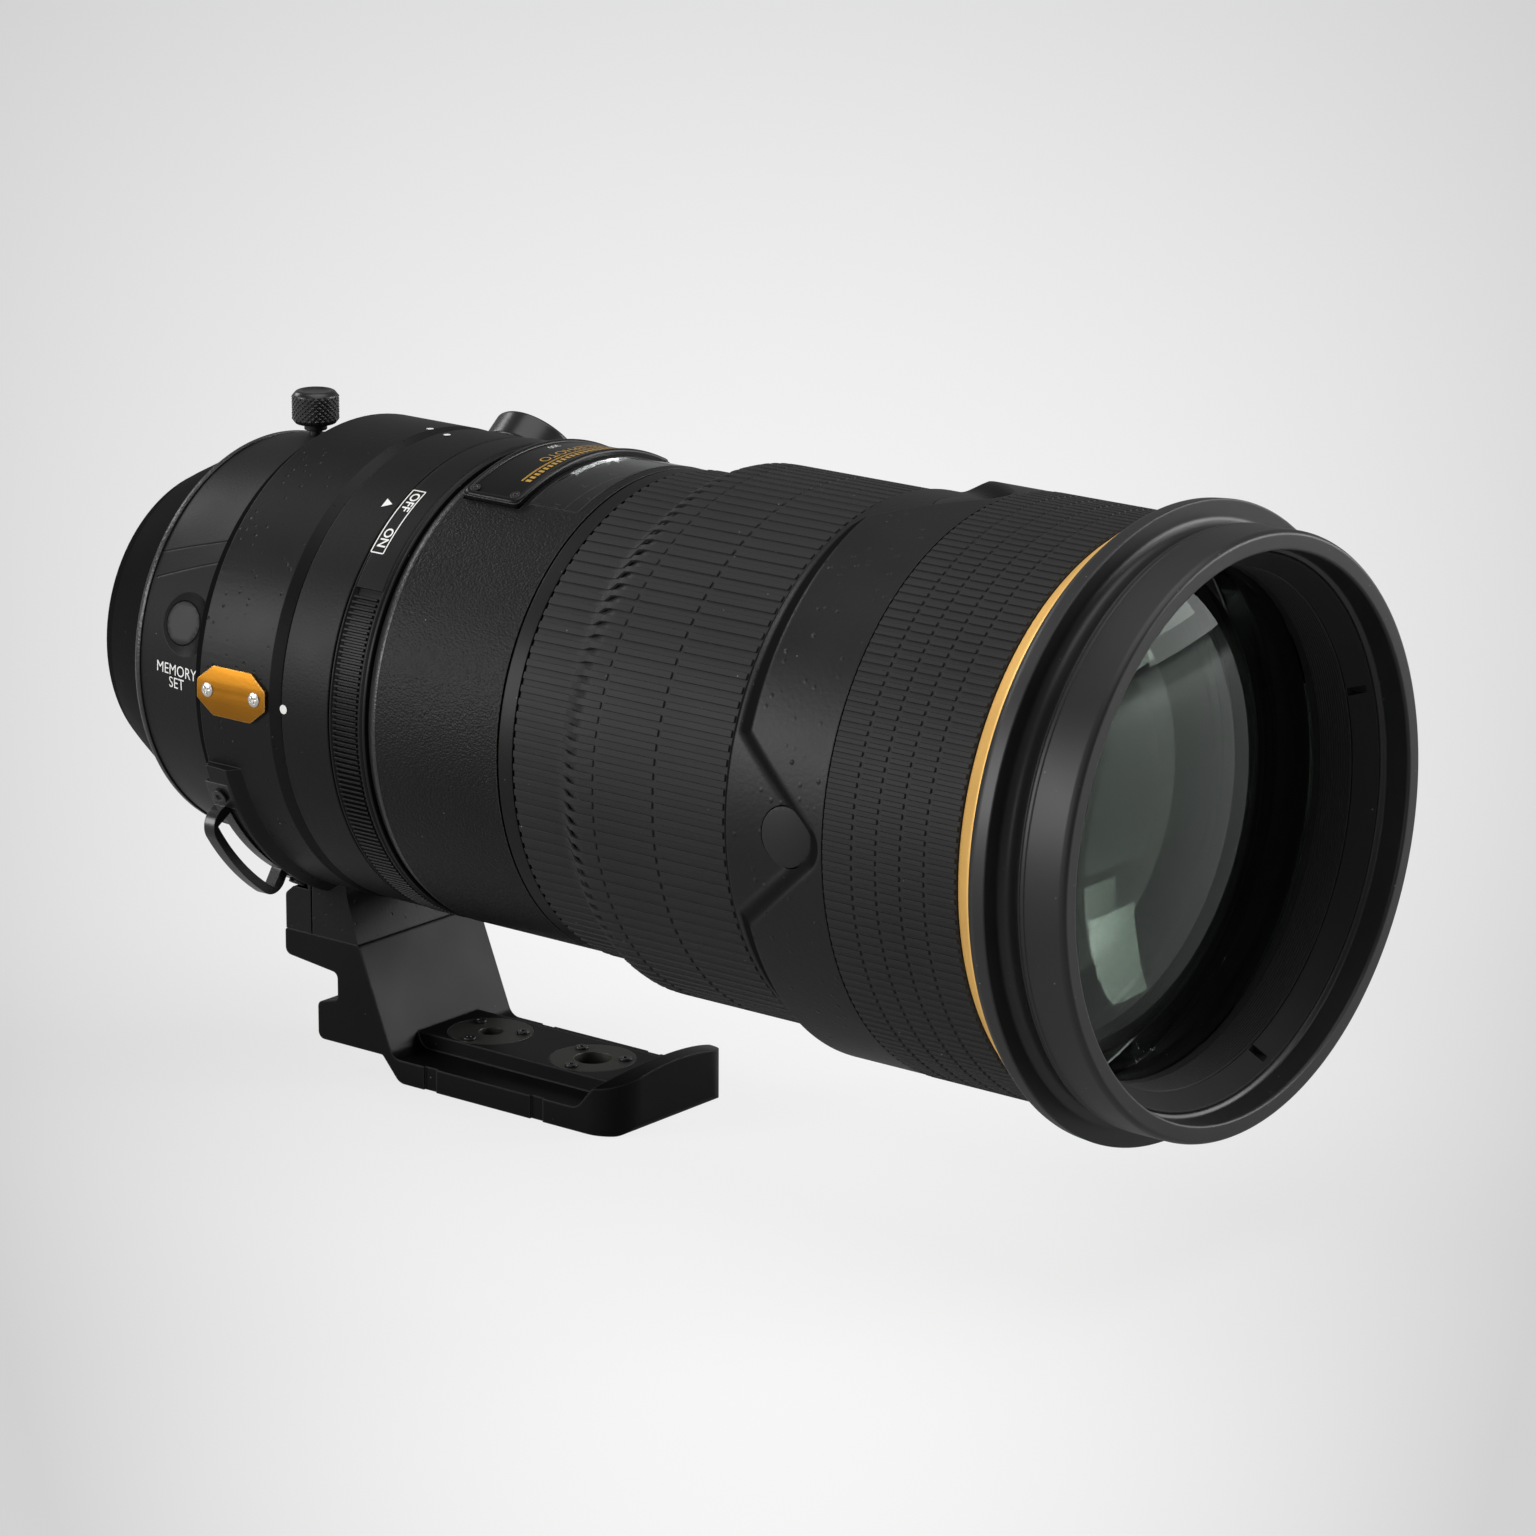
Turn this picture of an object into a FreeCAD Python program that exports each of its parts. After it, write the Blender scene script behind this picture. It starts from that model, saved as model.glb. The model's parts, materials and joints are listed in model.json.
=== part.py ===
import FreeCAD, Part
import math
import os

# Telephoto lens, millimetres.
# The origin is the centre of the camera-side mounting flange.
# +X runs along the optical axis to the front, +Z is up, and the tripod foot is at -Z.
# Angles round the axis are in degrees, from +Y (0) over the top (90) to the -Y side (180).

# Lengths along the axis, from the flange to the front
rear_cone_length = 19.2
drawer_band_length = 22.3
collar_length = 24.5
index_length = 13.4
switch_length = 10.3
main_length = 34.3
focus_length = 60.4
shoulder_length = 25.8
grip_length = 31.4
trim_length = 5.1
hood_flange_length = 4.7
front_tube_length = 15.2

# Fits
seam = 0.3
turning_gap = 0.3
running_gap = 0.05
seat_gap = 0.1

# Walls and steps, from the inner barrel outwards
inner_barrel_radius = 36.0
inner_barrel_wall = 2.6
focus_cell_wall = 3.9
motor_thickness = 8.2
drum_clearance = 2.0
main_wall = 2.8
switch_wall = 2.7
switch_sleeve_wall = 2.3
casing_wall = 2.0
grip_thickness = 1.4
bar_rise = 0.45
collar_step = 0.1
focus_step = 0.3
grip_step = 4.0
recess_step = 0.4
recess_depth = 3.3
trim_rise = 3.2
hood_flange_rise = 1.5
front_tube_rise = 1.0
rim_wall = 3.9
retainer_seat = 0.9
glass_edge_wall = 1.5
second_element_step = 4.0

# Walls and steps of the rear end, from the collar inwards
collar_wall = 5.2
collar_seat_wall = 2.5
band_rise = 1.2
band_taper = 3.4
cone_step = 1.1
cone_wall = 2.6
tail_step = 3.2

# Radii that follow
mount_radius = 30.0
tail_radius = mount_radius + tail_step
scale_radius = inner_barrel_radius + motor_thickness + drum_clearance
main_bore = scale_radius + turning_gap
ring_radius = main_bore + main_wall
focus_rear_radius = ring_radius + focus_step
focus_front_radius = focus_rear_radius + grip_step
recess_radius = focus_front_radius + recess_step
front_radius = recess_radius + recess_depth
trim_radius = front_radius + trim_rise
hood_flange_radius = trim_radius + hood_flange_rise
front_tube_radius = front_radius + front_tube_rise
aperture_radius = front_tube_radius - rim_wall
tube_bore = aperture_radius - retainer_seat
collar_radius = ring_radius - collar_step
collar_seat_radius = collar_radius - collar_wall
chassis_bore = collar_seat_radius - collar_seat_wall
band_front_radius = collar_seat_radius + band_rise
band_rear_radius = band_front_radius - band_taper
cone_radius = band_rear_radius - cone_step
lever_land_radius = cone_radius - cone_wall
switch_bore = ring_radius - switch_wall
switch_seat = switch_bore - turning_gap
sleeve_bore = switch_seat - switch_sleeve_wall

# Camera mount
throat_radius = 21.0
spigot_wall = 1.4
spigot_radius = throat_radius + spigot_wall
bayonet_reach = 1.6
bayonet_radius = spigot_radius + bayonet_reach
bayonet_depth = 5.5
bayonet_thickness = 1.7
bayonet_count = 3
bayonet_angle = 58.0
mount_thickness = 3.0
mount_screw_inset = 3.0
mount_screw_circle = mount_radius - mount_screw_inset
mount_screw_count = 5
mount_screw_radius = 1.0
contact_count = 8
contact_angle = 44.0

# Filter drawer
drawer_half_width = 34.6
drawer_half_angle = 57.0
drawer_rail_width = 3.0
drawer_lid_wall = 3.0
filter_frame_radius = 29.5
filter_frame_thickness = 7.0
filter_radius = 26.0
filter_glass_thickness = 2.0
filter_knob_radius = 4.9
filter_knob_height = 7.0
filter_knob_neck = 2.4
filter_stem_radius = 1.5

# Memory button in its bowl
memory_angle = 164.5
memory_radius = 4.5
memory_bowl_radius = 7.3

# Tripod collar and foot
neck_half_width = 18.8
neck_drop = 8.2
foot_height = 27.6
foot_parting = collar_radius + neck_drop
foot_depth = foot_parting + foot_height
plate_thickness = 5.0
foot_block_height = 5.6
foot_block_bottom = foot_parting + foot_block_height
foot_rear = 38.6
foot_front = 129.0
socket_pad_half_width = 9.5
socket_pad_height = 3.4
socket_disc_radius = 8.9
socket_body_radius = 6.2
socket_stations = (79.0, 106.8)
socket_bores = (2.55, 3.97)
lock_knob_angle = 40.0
lock_knob_radius = 10.2
lock_knob_height = 6.6
lock_boss_radius = 8.4
lock_stem_radius = 3.0
side_plate_angle = 178.0
side_plate_length = 18.6
side_plate_width = 12.2
side_plate_thickness = 0.8
lug_angle_start = 209.0
lug_angle_end = 239.0
lug_tab_angle = 7.0
lug_tab_width = 6.6
lug_thickness = 2.8
lug_rise = 6.6
lug_outer_radius = collar_radius + lug_rise
lug_bar = 1.9
lug_boss_rise = 1.7

# Top plate, window and switch panel
plate_half_angle = 28.3
plate_length = 14.8
plate_rise = 1.1
window_half_angle = 26.3
window_length = 12.0
window_ledge = 1.2
pane_thickness = 1.5
panel_half_angle = 21.0
panel_rise = 1.7
panel_length = 27.0
slider_angle = 5.0
slider_travel = 6.0
slider_width = 5.0
slider_rise = 1.6

# Focus buttons and their recesses
focus_button_radius = 5.9
focus_button_angles = (90.0, 180.0, 270.0, 0.0)
recess_half_angle = 19.0
recess_tip_radius = 8.0
button_inset = 15.0
button_gap = 0.15
shoulder_slope = 5.0

# Grip bars, raised strips along the rubber sleeves that breaks cut into bricks
focus_bar_count = 40
focus_bar_width = 1.25
focus_bar_breaks = (25.0, 40.0)
front_bar_count = 46
front_bar_width = 0.9
front_bar_rows = 5
bar_break = 0.6

# Focus drive
cam_turn = 75.0
focus_travel = 14.0
follower_radius = 1.45
follower_count = 3
cam_wall = 2.0

# Optics
glass_gap = 0.1
front_glass_radius = tube_bore - glass_edge_wall
second_element_radius = front_glass_radius - second_element_step
inner_bore = inner_barrel_radius - inner_barrel_wall
focus_element_radius = inner_bore - focus_cell_wall
stabiliser_element_radius = 20.8
rear_element_radius = 22.0
iris_blade_count = 9
iris_open_radius = 24.0
stabiliser_travel = 1.2
aperture_turn = 14.0
lens_bore = inner_barrel_radius + seat_gap

# Stations along the axis
x_step = rear_cone_length
x_collar_rear = x_step + drawer_band_length
x_collar_front = x_collar_rear + collar_length
x_index_front = x_collar_front + seam + index_length
x_main_rear = x_index_front + switch_length
x_main_front = x_main_rear + main_length
x_focus_front = x_main_front + seam + focus_length
x_grip_rear = x_focus_front + seam + shoulder_length
x_grip_front = x_grip_rear + grip_length
x_tube_rear = x_grip_front + trim_length
x_flange_front = x_tube_rear + hood_flange_length
x_front = x_flange_front + front_tube_length

Vector = FreeCAD.Vector
ORIGIN = Vector(0, 0, 0)
AXIS = Vector(1, 0, 0)
UP = Vector(0, 0, 1)
FULL_TURN = 360.0
TOP = 90.0
nodes = {}


# Helpers

def around(x, radius, angle):
    turn = math.radians(angle)
    return Vector(x, radius * math.cos(turn), radius * math.sin(turn))


def outward(angle):
    return around(0, 1, angle)


def outline(points, rounds, place):
    """A closed wire through 2-D points; rounds gives the radius at a corner's index."""
    count = len(points)
    entries = []
    for index, point in enumerate(points):
        here = Vector(point[0], point[1], 0)
        radius = rounds.get(index, 0)
        if not radius:
            entries.append((here, None, here))
            continue
        before = Vector(*points[index - 1], 0) - here
        after = Vector(*points[(index + 1) % count], 0) - here
        before.normalize()
        after.normalize()
        half = before.getAngle(after) / 2
        reach = radius / math.tan(half)
        bisector = before + after
        bisector.normalize()
        centre = here + bisector * (radius / math.sin(half))
        middle = centre - bisector * radius
        entries.append((here + before * reach, middle, here + after * reach))
    edges = []
    for index, (start, middle, end) in enumerate(entries):
        if middle is not None:
            edges.append(Part.Arc(place(start), place(middle), place(end)).toShape())
        following = entries[(index + 1) % count][0]
        if (following - end).Length > 1e-6:
            edges.append(Part.LineSegment(place(end), place(following)).toShape())
    return Part.Wire(edges)


def turned(points, rounds=None, start=0.0, sweep=FULL_TURN):
    """Revolve an outline of (x, radius) points about the optical axis."""
    wire = outline(points, rounds or {}, lambda p: Vector(p.x, p.y, 0))
    solid = Part.Face(wire).revolve(ORIGIN, AXIS, sweep)
    if start:
        solid.rotate(ORIGIN, AXIS, start)
    return solid


def tube(x_from, x_to, inner, outer, edge=0.0):
    points = [(x_from, inner), (x_to, inner), (x_to, outer - edge), (x_to - edge, outer),
              (x_from + edge, outer), (x_from, outer - edge)]
    if not edge:
        points = [(x_from, inner), (x_to, inner), (x_to, outer), (x_from, outer)]
    return turned(points)


def sector(x_from, x_to, inner, outer, start, sweep):
    points = [(x_from, inner), (x_to, inner), (x_to, outer), (x_from, outer)]
    return turned(points, start=start, sweep=sweep)


def disc(x_from, x_to, radius):
    return Part.makeCylinder(radius, x_to - x_from, Vector(x_from, 0, 0), AXIS)


def peg(x, angle, radius, r_from, r_to):
    """A round peg that stands radially at an angle round the axis."""
    return Part.makeCylinder(radius, r_to - r_from, around(x, r_from, angle), outward(angle))


def profile_block(points, rounds, half_width):
    """Extrude an outline in X and Z across the lens, centred on the axis plane."""
    wire = outline(points, rounds, lambda p: Vector(p.x, -half_width, p.y))
    return Part.Face(wire).extrude(Vector(0, 2 * half_width, 0))


def box(x_from, x_to, y_from, y_to, z_from, z_to):
    corner = Vector(x_from, y_from, z_from)
    return Part.makeBox(x_to - x_from, y_to - y_from, z_to - z_from, corner)


def fused(shapes):
    shapes = list(shapes)
    if len(shapes) == 1:
        return shapes[0]
    return shapes[0].multiFuse(shapes[1:]).removeSplitter()


def cut(body, tools):
    tools = list(tools)
    for tool in tools:
        body = body.cut(tool)
    return body


def spread(count, start=0.0):
    return [start + FULL_TURN * index / count for index in range(count)]


def lens_element(x_rear, x_front, radius, rear_bulge, front_bulge):
    """A glass element; a bulge is how far the face stands out at the axis, and may be negative."""
    def face_arc(x_edge, bulge):
        middle = (radius ** 2 + bulge ** 2) / (2 * bulge)
        along = x_edge + bulge - middle
        half_chord = radius / 2
        reach = math.sqrt(middle ** 2 - half_chord ** 2)
        x_mid = along + math.copysign(reach, bulge)
        return Part.Arc(Vector(x_edge, radius, 0), Vector(x_mid, half_chord, 0),
                        Vector(x_edge + bulge, 0, 0)).toShape()
    front = face_arc(x_front, front_bulge)
    rear = face_arc(x_rear, rear_bulge)
    rim = Part.LineSegment(Vector(x_rear, radius, 0), Vector(x_front, radius, 0)).toShape()
    core = Part.LineSegment(Vector(x_rear + rear_bulge, 0, 0),
                            Vector(x_front + front_bulge, 0, 0)).toShape()
    wire = Part.Wire(Part.__sortEdges__([front, core, rear, rim]))
    return Part.Face(wire).revolve(ORIGIN, AXIS, FULL_TURN)


def round_head_screw(base, direction, head_radius, head_height, shank_radius, shank_length):
    """A screw whose head sits on base and whose shank goes into the piece below."""
    head = Part.makeCylinder(head_radius, head_height, base, direction)
    shank = Part.makeCylinder(shank_radius, shank_length, base - direction * shank_length, direction)
    socket = Part.makeCylinder(head_radius * 0.45, head_height * 0.5,
                               base + direction * (head_height * 0.5), direction)
    return head.fuse(shank).removeSplitter().cut(socket)


# Camera mount

mount_wall = 3.0
x_mount_wall = mount_thickness + mount_wall
countersink_radius = mount_screw_radius * 2


def screw_stations():
    return [around(0, mount_screw_circle, angle) for angle in spread(mount_screw_count, 54.0)]


def mount_screw_shape(base, gap):
    head = Part.makeCone(countersink_radius + gap, mount_screw_radius + gap, mount_screw_radius,
                         base, AXIS)
    shank = Part.makeCylinder(mount_screw_radius + gap, x_mount_wall - 0.4 + gap, base, AXIS)
    return head.fuse(shank).removeSplitter()


def make_mount():
    flange = tube(0, mount_thickness, throat_radius, mount_radius, 0.3)
    spigot = tube(-bayonet_depth, 0, throat_radius, spigot_radius)
    lugs = [sector(-bayonet_depth, -bayonet_depth + bayonet_thickness, spigot_radius - seat_gap,
                   bayonet_radius, angle, bayonet_angle)
            for angle in spread(bayonet_count, 15.0)]
    ring = fused([flange, spigot] + lugs)
    nodes["mount_ring"] = cut(ring, [mount_screw_shape(p, running_gap) for p in screw_stations()])
    screws = []
    for station in screw_stations():
        slot = Part.makeCylinder(mount_screw_radius * 0.8, 0.5, station, AXIS)
        screws.append(mount_screw_shape(station, 0).cut(slot))
    nodes["mount_screws"] = Part.makeCompound(screws)

    block_inner = throat_radius - 3.6
    block_outer = throat_radius - seat_gap
    block_start = TOP - contact_angle / 2
    block = sector(-4.0, 4.0, block_inner, block_outer, block_start, contact_angle)
    pins = []
    pitch = (contact_angle - 8.0) / (contact_count - 1)
    for index in range(contact_count):
        angle = block_start + 4.0 + pitch * index
        foot_point = around(-4.5, (block_inner + block_outer) / 2, angle)
        pin = Part.makeCylinder(0.6, 3.0, foot_point, AXIS)
        tip = Part.makeSphere(0.6, foot_point)
        pins.append(pin.fuse(tip).removeSplitter())
        block = block.cut(Part.makeCylinder(0.6 + running_gap, 3.0, foot_point, AXIS))
    nodes["contact_block"] = block
    nodes["contact_pins"] = Part.makeCompound(pins)


# Rear barrel, which carries the mount, the drawer and the collar

x_lid_rear = x_step + 1.2
x_lid_front = x_collar_rear - 1.1
lever_ring_rear = x_step + 1.1
lever_ring_thickness = 2.0
band_slope = (band_front_radius - band_rear_radius) / (drawer_band_length - 1.3)
x_filter = (x_lid_rear + x_lid_front) / 2 + 1.4
lid_side_gap = 0.25


def band_radius(x):
    return band_rear_radius + band_slope * (x - x_step - 0.8)


def lid_sector(gap):
    """The arc of the band that lifts out with the filter drawer."""
    x_from = x_lid_rear - gap
    x_to = x_lid_front + gap
    inner = band_radius(x_from) - drawer_lid_wall
    points = [(x_from, inner), (x_to, band_radius(x_to) - drawer_lid_wall),
              (x_to, band_radius(x_to) + gap * 4), (x_from, band_radius(x_from) + gap * 4)]
    arc = turned(points, start=TOP - drawer_half_angle, sweep=2 * drawer_half_angle)
    half = drawer_half_width + gap
    return arc.common(box(x_from - 1, x_to + 1, -half, half, 0, band_front_radius + 5))


def memory_axis_x():
    return (x_step + x_collar_rear) / 2 + 2.4


def make_rear_barrel():
    inner_cone = throat_radius + 4.5
    outer = [(1.0, mount_radius + seat_gap), (1.0, 31.6), (4.0, tail_radius),
             (x_step, cone_radius), (x_step, band_rear_radius - 0.5),
             (x_step + 0.8, band_rear_radius), (x_collar_rear - 0.5, band_front_radius),
             (x_collar_rear - 0.3, band_front_radius - 0.4),
             (x_collar_rear - 0.3, collar_seat_radius), (x_collar_front + seam, collar_seat_radius)]
    inner = [(x_collar_front + seam, chassis_bore), (x_lid_front + 1.0, chassis_bore),
             (x_lid_front - 2.5, lever_land_radius + 1.2), (x_lid_rear + 5.0, lever_land_radius),
             (x_step + 1.0, lever_land_radius), (x_step + 1.0, lever_land_radius - 1.6),
             (x_mount_wall, inner_cone + 3.0), (x_mount_wall, inner_cone),
             (mount_thickness, inner_cone), (mount_thickness, mount_radius + seat_gap)]
    shell = turned(outer + inner, {3: 0.4, 6: 0.3})
    tools = [mount_screw_shape(p, running_gap) for p in screw_stations()]
    # Slot that the drawer drops through
    slot = lid_sector(lid_side_gap)
    below_lid = box(x_lid_rear + 2.0, x_lid_front - 2.0, -drawer_half_width + 1.5,
                    drawer_half_width - 1.5, 0, band_front_radius)
    tools += [slot, below_lid.common(disc(x_step, x_collar_rear, band_front_radius))]
    # Shallow line along each side of the lid, where the lid's rail is let in
    for side in (-1, 1):
        rail_edge = side * (drawer_half_width + drawer_rail_width)
        rail_line = box(x_lid_rear + 1.5, x_collar_rear - 1.0, rail_edge - 0.12, rail_edge + 0.12,
                        10, band_front_radius)
        rail_line = rail_line.cut(turned([(x_step, 30.0), (x_collar_rear, 30.0),
                                          (x_collar_rear, band_radius(x_collar_rear) - 0.4),
                                          (x_step, band_radius(x_step) - 0.4)]))
        tools.append(rail_line)
    # Bowl and hole of the memory button
    x_button = memory_axis_x()
    surface = band_radius(x_button)
    bowl_depth = 1.9
    sphere_radius = (memory_bowl_radius ** 2 + bowl_depth ** 2) / (2 * bowl_depth)
    bowl_centre = around(x_button, surface + sphere_radius - bowl_depth, memory_angle)
    tools.append(Part.makeSphere(sphere_radius, bowl_centre))
    tools.append(peg(x_button, memory_angle, memory_radius + button_gap, surface - 12, surface + 2))
    nodes["rear_barrel"] = cut(shell, tools)
    # Domed button with a retaining skirt under the wall
    top = surface - 0.9
    button = peg(x_button, memory_angle, memory_radius, surface - 5.5, top)
    dome_radius = 26.0
    dome = Part.makeSphere(dome_radius, around(x_button, top - dome_radius + 0.2, memory_angle))
    nodes["memory_button"] = button.common(dome)


# Filter drawer

x_frame_rear = x_filter - filter_frame_thickness / 2
x_frame_front = x_filter + filter_frame_thickness / 2
knob_pocket_radius = 5.6


def make_drawer():
    lid = lid_sector(0)
    frame_block = box(x_frame_rear, x_frame_front, -filter_frame_radius, filter_frame_radius, 0,
                      band_front_radius)
    frame_bottom = disc(x_frame_rear, x_frame_front, filter_frame_radius)
    under_lid = disc(x_frame_rear, x_frame_front, band_radius(x_filter) - drawer_lid_wall + 0.4)
    frame = frame_block.common(under_lid).fuse(frame_bottom)
    drawer = fused([lid, frame])
    lid_inner = band_radius(x_filter) - drawer_lid_wall
    pocket = Part.makeCylinder(knob_pocket_radius, lid_inner - filter_radius - 4.0,
                               Vector(x_filter, 0, filter_radius + 3.5), UP)
    tools = [disc(x_frame_rear - 1, x_frame_front + 1, filter_radius - 1.2),
             disc(x_filter - 1.0, x_frame_front + 1, filter_radius),
             pocket,
             Part.makeCylinder(filter_stem_radius + running_gap, drawer_lid_wall + 8,
                               Vector(x_filter, 0, lid_inner - 6), UP)]
    nodes["filter_drawer"] = cut(drawer, tools)
    x_glass = x_filter - 1.0
    nodes["filter_glass"] = disc(x_glass, x_glass + filter_glass_thickness, filter_radius - running_gap)
    # Knob: knurled head, neck, stem and the latch bar under the lid
    lid_top = band_radius(x_filter)
    head_base = lid_top + 2.6
    centre = Vector(x_filter, 0, head_base)
    head = Part.makeCylinder(filter_knob_radius, filter_knob_height, centre, UP)
    head = head.makeFillet(1.1, [head.Edges[0], head.Edges[2]])
    neck_base = band_radius(x_filter + filter_knob_neck) + seat_gap
    neck = Part.makeCylinder(filter_knob_neck, head_base - neck_base, Vector(x_filter, 0, neck_base), UP)
    stem_base = lid_inner - 2.6
    stem = Part.makeCylinder(filter_stem_radius, head_base - stem_base,
                             Vector(x_filter, 0, stem_base), UP)
    latch = box(x_filter - 1.2, x_filter + 1.2, -5.0, 5.0, stem_base, stem_base + 1.6)
    latch = latch.common(Part.makeCylinder(knob_pocket_radius - 0.4, 10,
                                           Vector(x_filter, 0, stem_base - 1), UP))
    # Knurl: shallow vertical notches round the head
    notch_count = 24
    notches = []
    for angle in spread(notch_count):
        turn = math.radians(angle)
        place = Vector(x_filter + filter_knob_radius * math.cos(turn),
                       filter_knob_radius * math.sin(turn), head_base)
        notches.append(Part.makeCylinder(0.25, filter_knob_height - 2.4, place + UP * 1.2, UP))
    head = head.cut(Part.makeCompound(notches))
    nodes["filter_knob"] = fused([head, neck, stem, latch])


# Tripod collar

x_neck_rear = x_collar_rear - 2.6
x_neck_front = x_collar_rear + 17.2
x_lock = x_collar_rear + 12.8
x_lug = x_collar_rear + 1.7
x_side_plate = x_collar_rear + 12.5


def side_plate_outline(gap, r_from, r_to):
    """Elongated hexagon that stands radially through the collar's skin."""
    half = side_plate_length / 2 + gap
    wide = side_plate_width / 2 + gap
    shoulder = half - 4.2
    tip = wide * 0.38
    points = [(-half, -tip), (-shoulder, -wide), (shoulder, -wide), (half, -tip),
              (half, tip), (shoulder, wide), (-shoulder, wide), (-half, tip)]
    wire = outline(points, {index: 0.8 for index in range(8)},
                   lambda p: Vector(x_side_plate + p.x, r_from, p.y))
    prism = Part.Face(wire).extrude(Vector(0, r_to - r_from, 0))
    prism.rotate(ORIGIN, AXIS, side_plate_angle)
    return prism


def lug_screw_angles():
    return (lug_angle_start - lug_tab_angle / 2, lug_angle_end + lug_tab_angle / 2)


def lug_shape():
    """Flat strap loop that stands on the collar, with a fixing tab at each end."""
    base = collar_radius + seat_gap
    sweep = lug_angle_end - lug_angle_start
    x_to = x_lug + lug_thickness
    plate = sector(x_lug, x_to, base, lug_outer_radius, lug_angle_start, sweep)
    edges = [edge for edge in plate.Edges
             if 0.9 * lug_thickness < edge.Length < 1.1 * lug_thickness
             and math.hypot(edge.CenterOfMass.y, edge.CenterOfMass.z) > lug_outer_radius - 0.1]
    plate = plate.makeFillet(4.0, edges)
    slot_margin = 2.6
    slot = sector(x_lug - 1, x_to + 1, base + 0.4, lug_outer_radius - lug_bar,
                  lug_angle_start + slot_margin, sweep - 2 * slot_margin)
    tabs = sector(x_lug, x_lug + lug_tab_width, base, base + 1.0, lug_angle_start - lug_tab_angle,
                  sweep + 2 * lug_tab_angle)
    middle = sector(x_to, x_lug + lug_tab_width + 1, base - 1, base + 3, lug_angle_start,
                    sweep)
    lug = plate.cut(slot).fuse(tabs.cut(middle).cut(slot)).removeSplitter()
    for angle in lug_screw_angles():
        lug = lug.cut(peg(x_lug + lug_tab_width / 2, angle, 0.85, base - 2, base + 4))
    return lug


def lug_boss():
    """Raised frame on the collar round the lug, open towards the camera."""
    top = collar_radius + lug_boss_rise
    x_pocket = x_lug + lug_tab_width + 0.2
    start = lug_angle_start - lug_tab_angle - 5.0
    sweep = lug_angle_end - lug_angle_start + 2 * lug_tab_angle + 9.0
    frame = turned([(x_collar_rear + 2.2, collar_radius - 1.5), (x_collar_rear + 2.2, collar_radius),
                    (x_collar_rear + 3.4, top - 0.3), (x_pocket + 0.9, top), (x_pocket + 1.8, top - 0.4),
                    (x_pocket + 4.0, collar_radius - 0.1), (x_pocket + 4.0, collar_radius - 1.5)],
                   start=start, sweep=sweep)
    pocket = sector(x_collar_rear, x_pocket, collar_radius, top + 2,
                    lug_angle_start - lug_tab_angle - 0.6, sweep)
    return frame.cut(pocket)


def mirrored(shape):
    return shape.mirror(ORIGIN, Vector(0, 1, 0))


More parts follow.
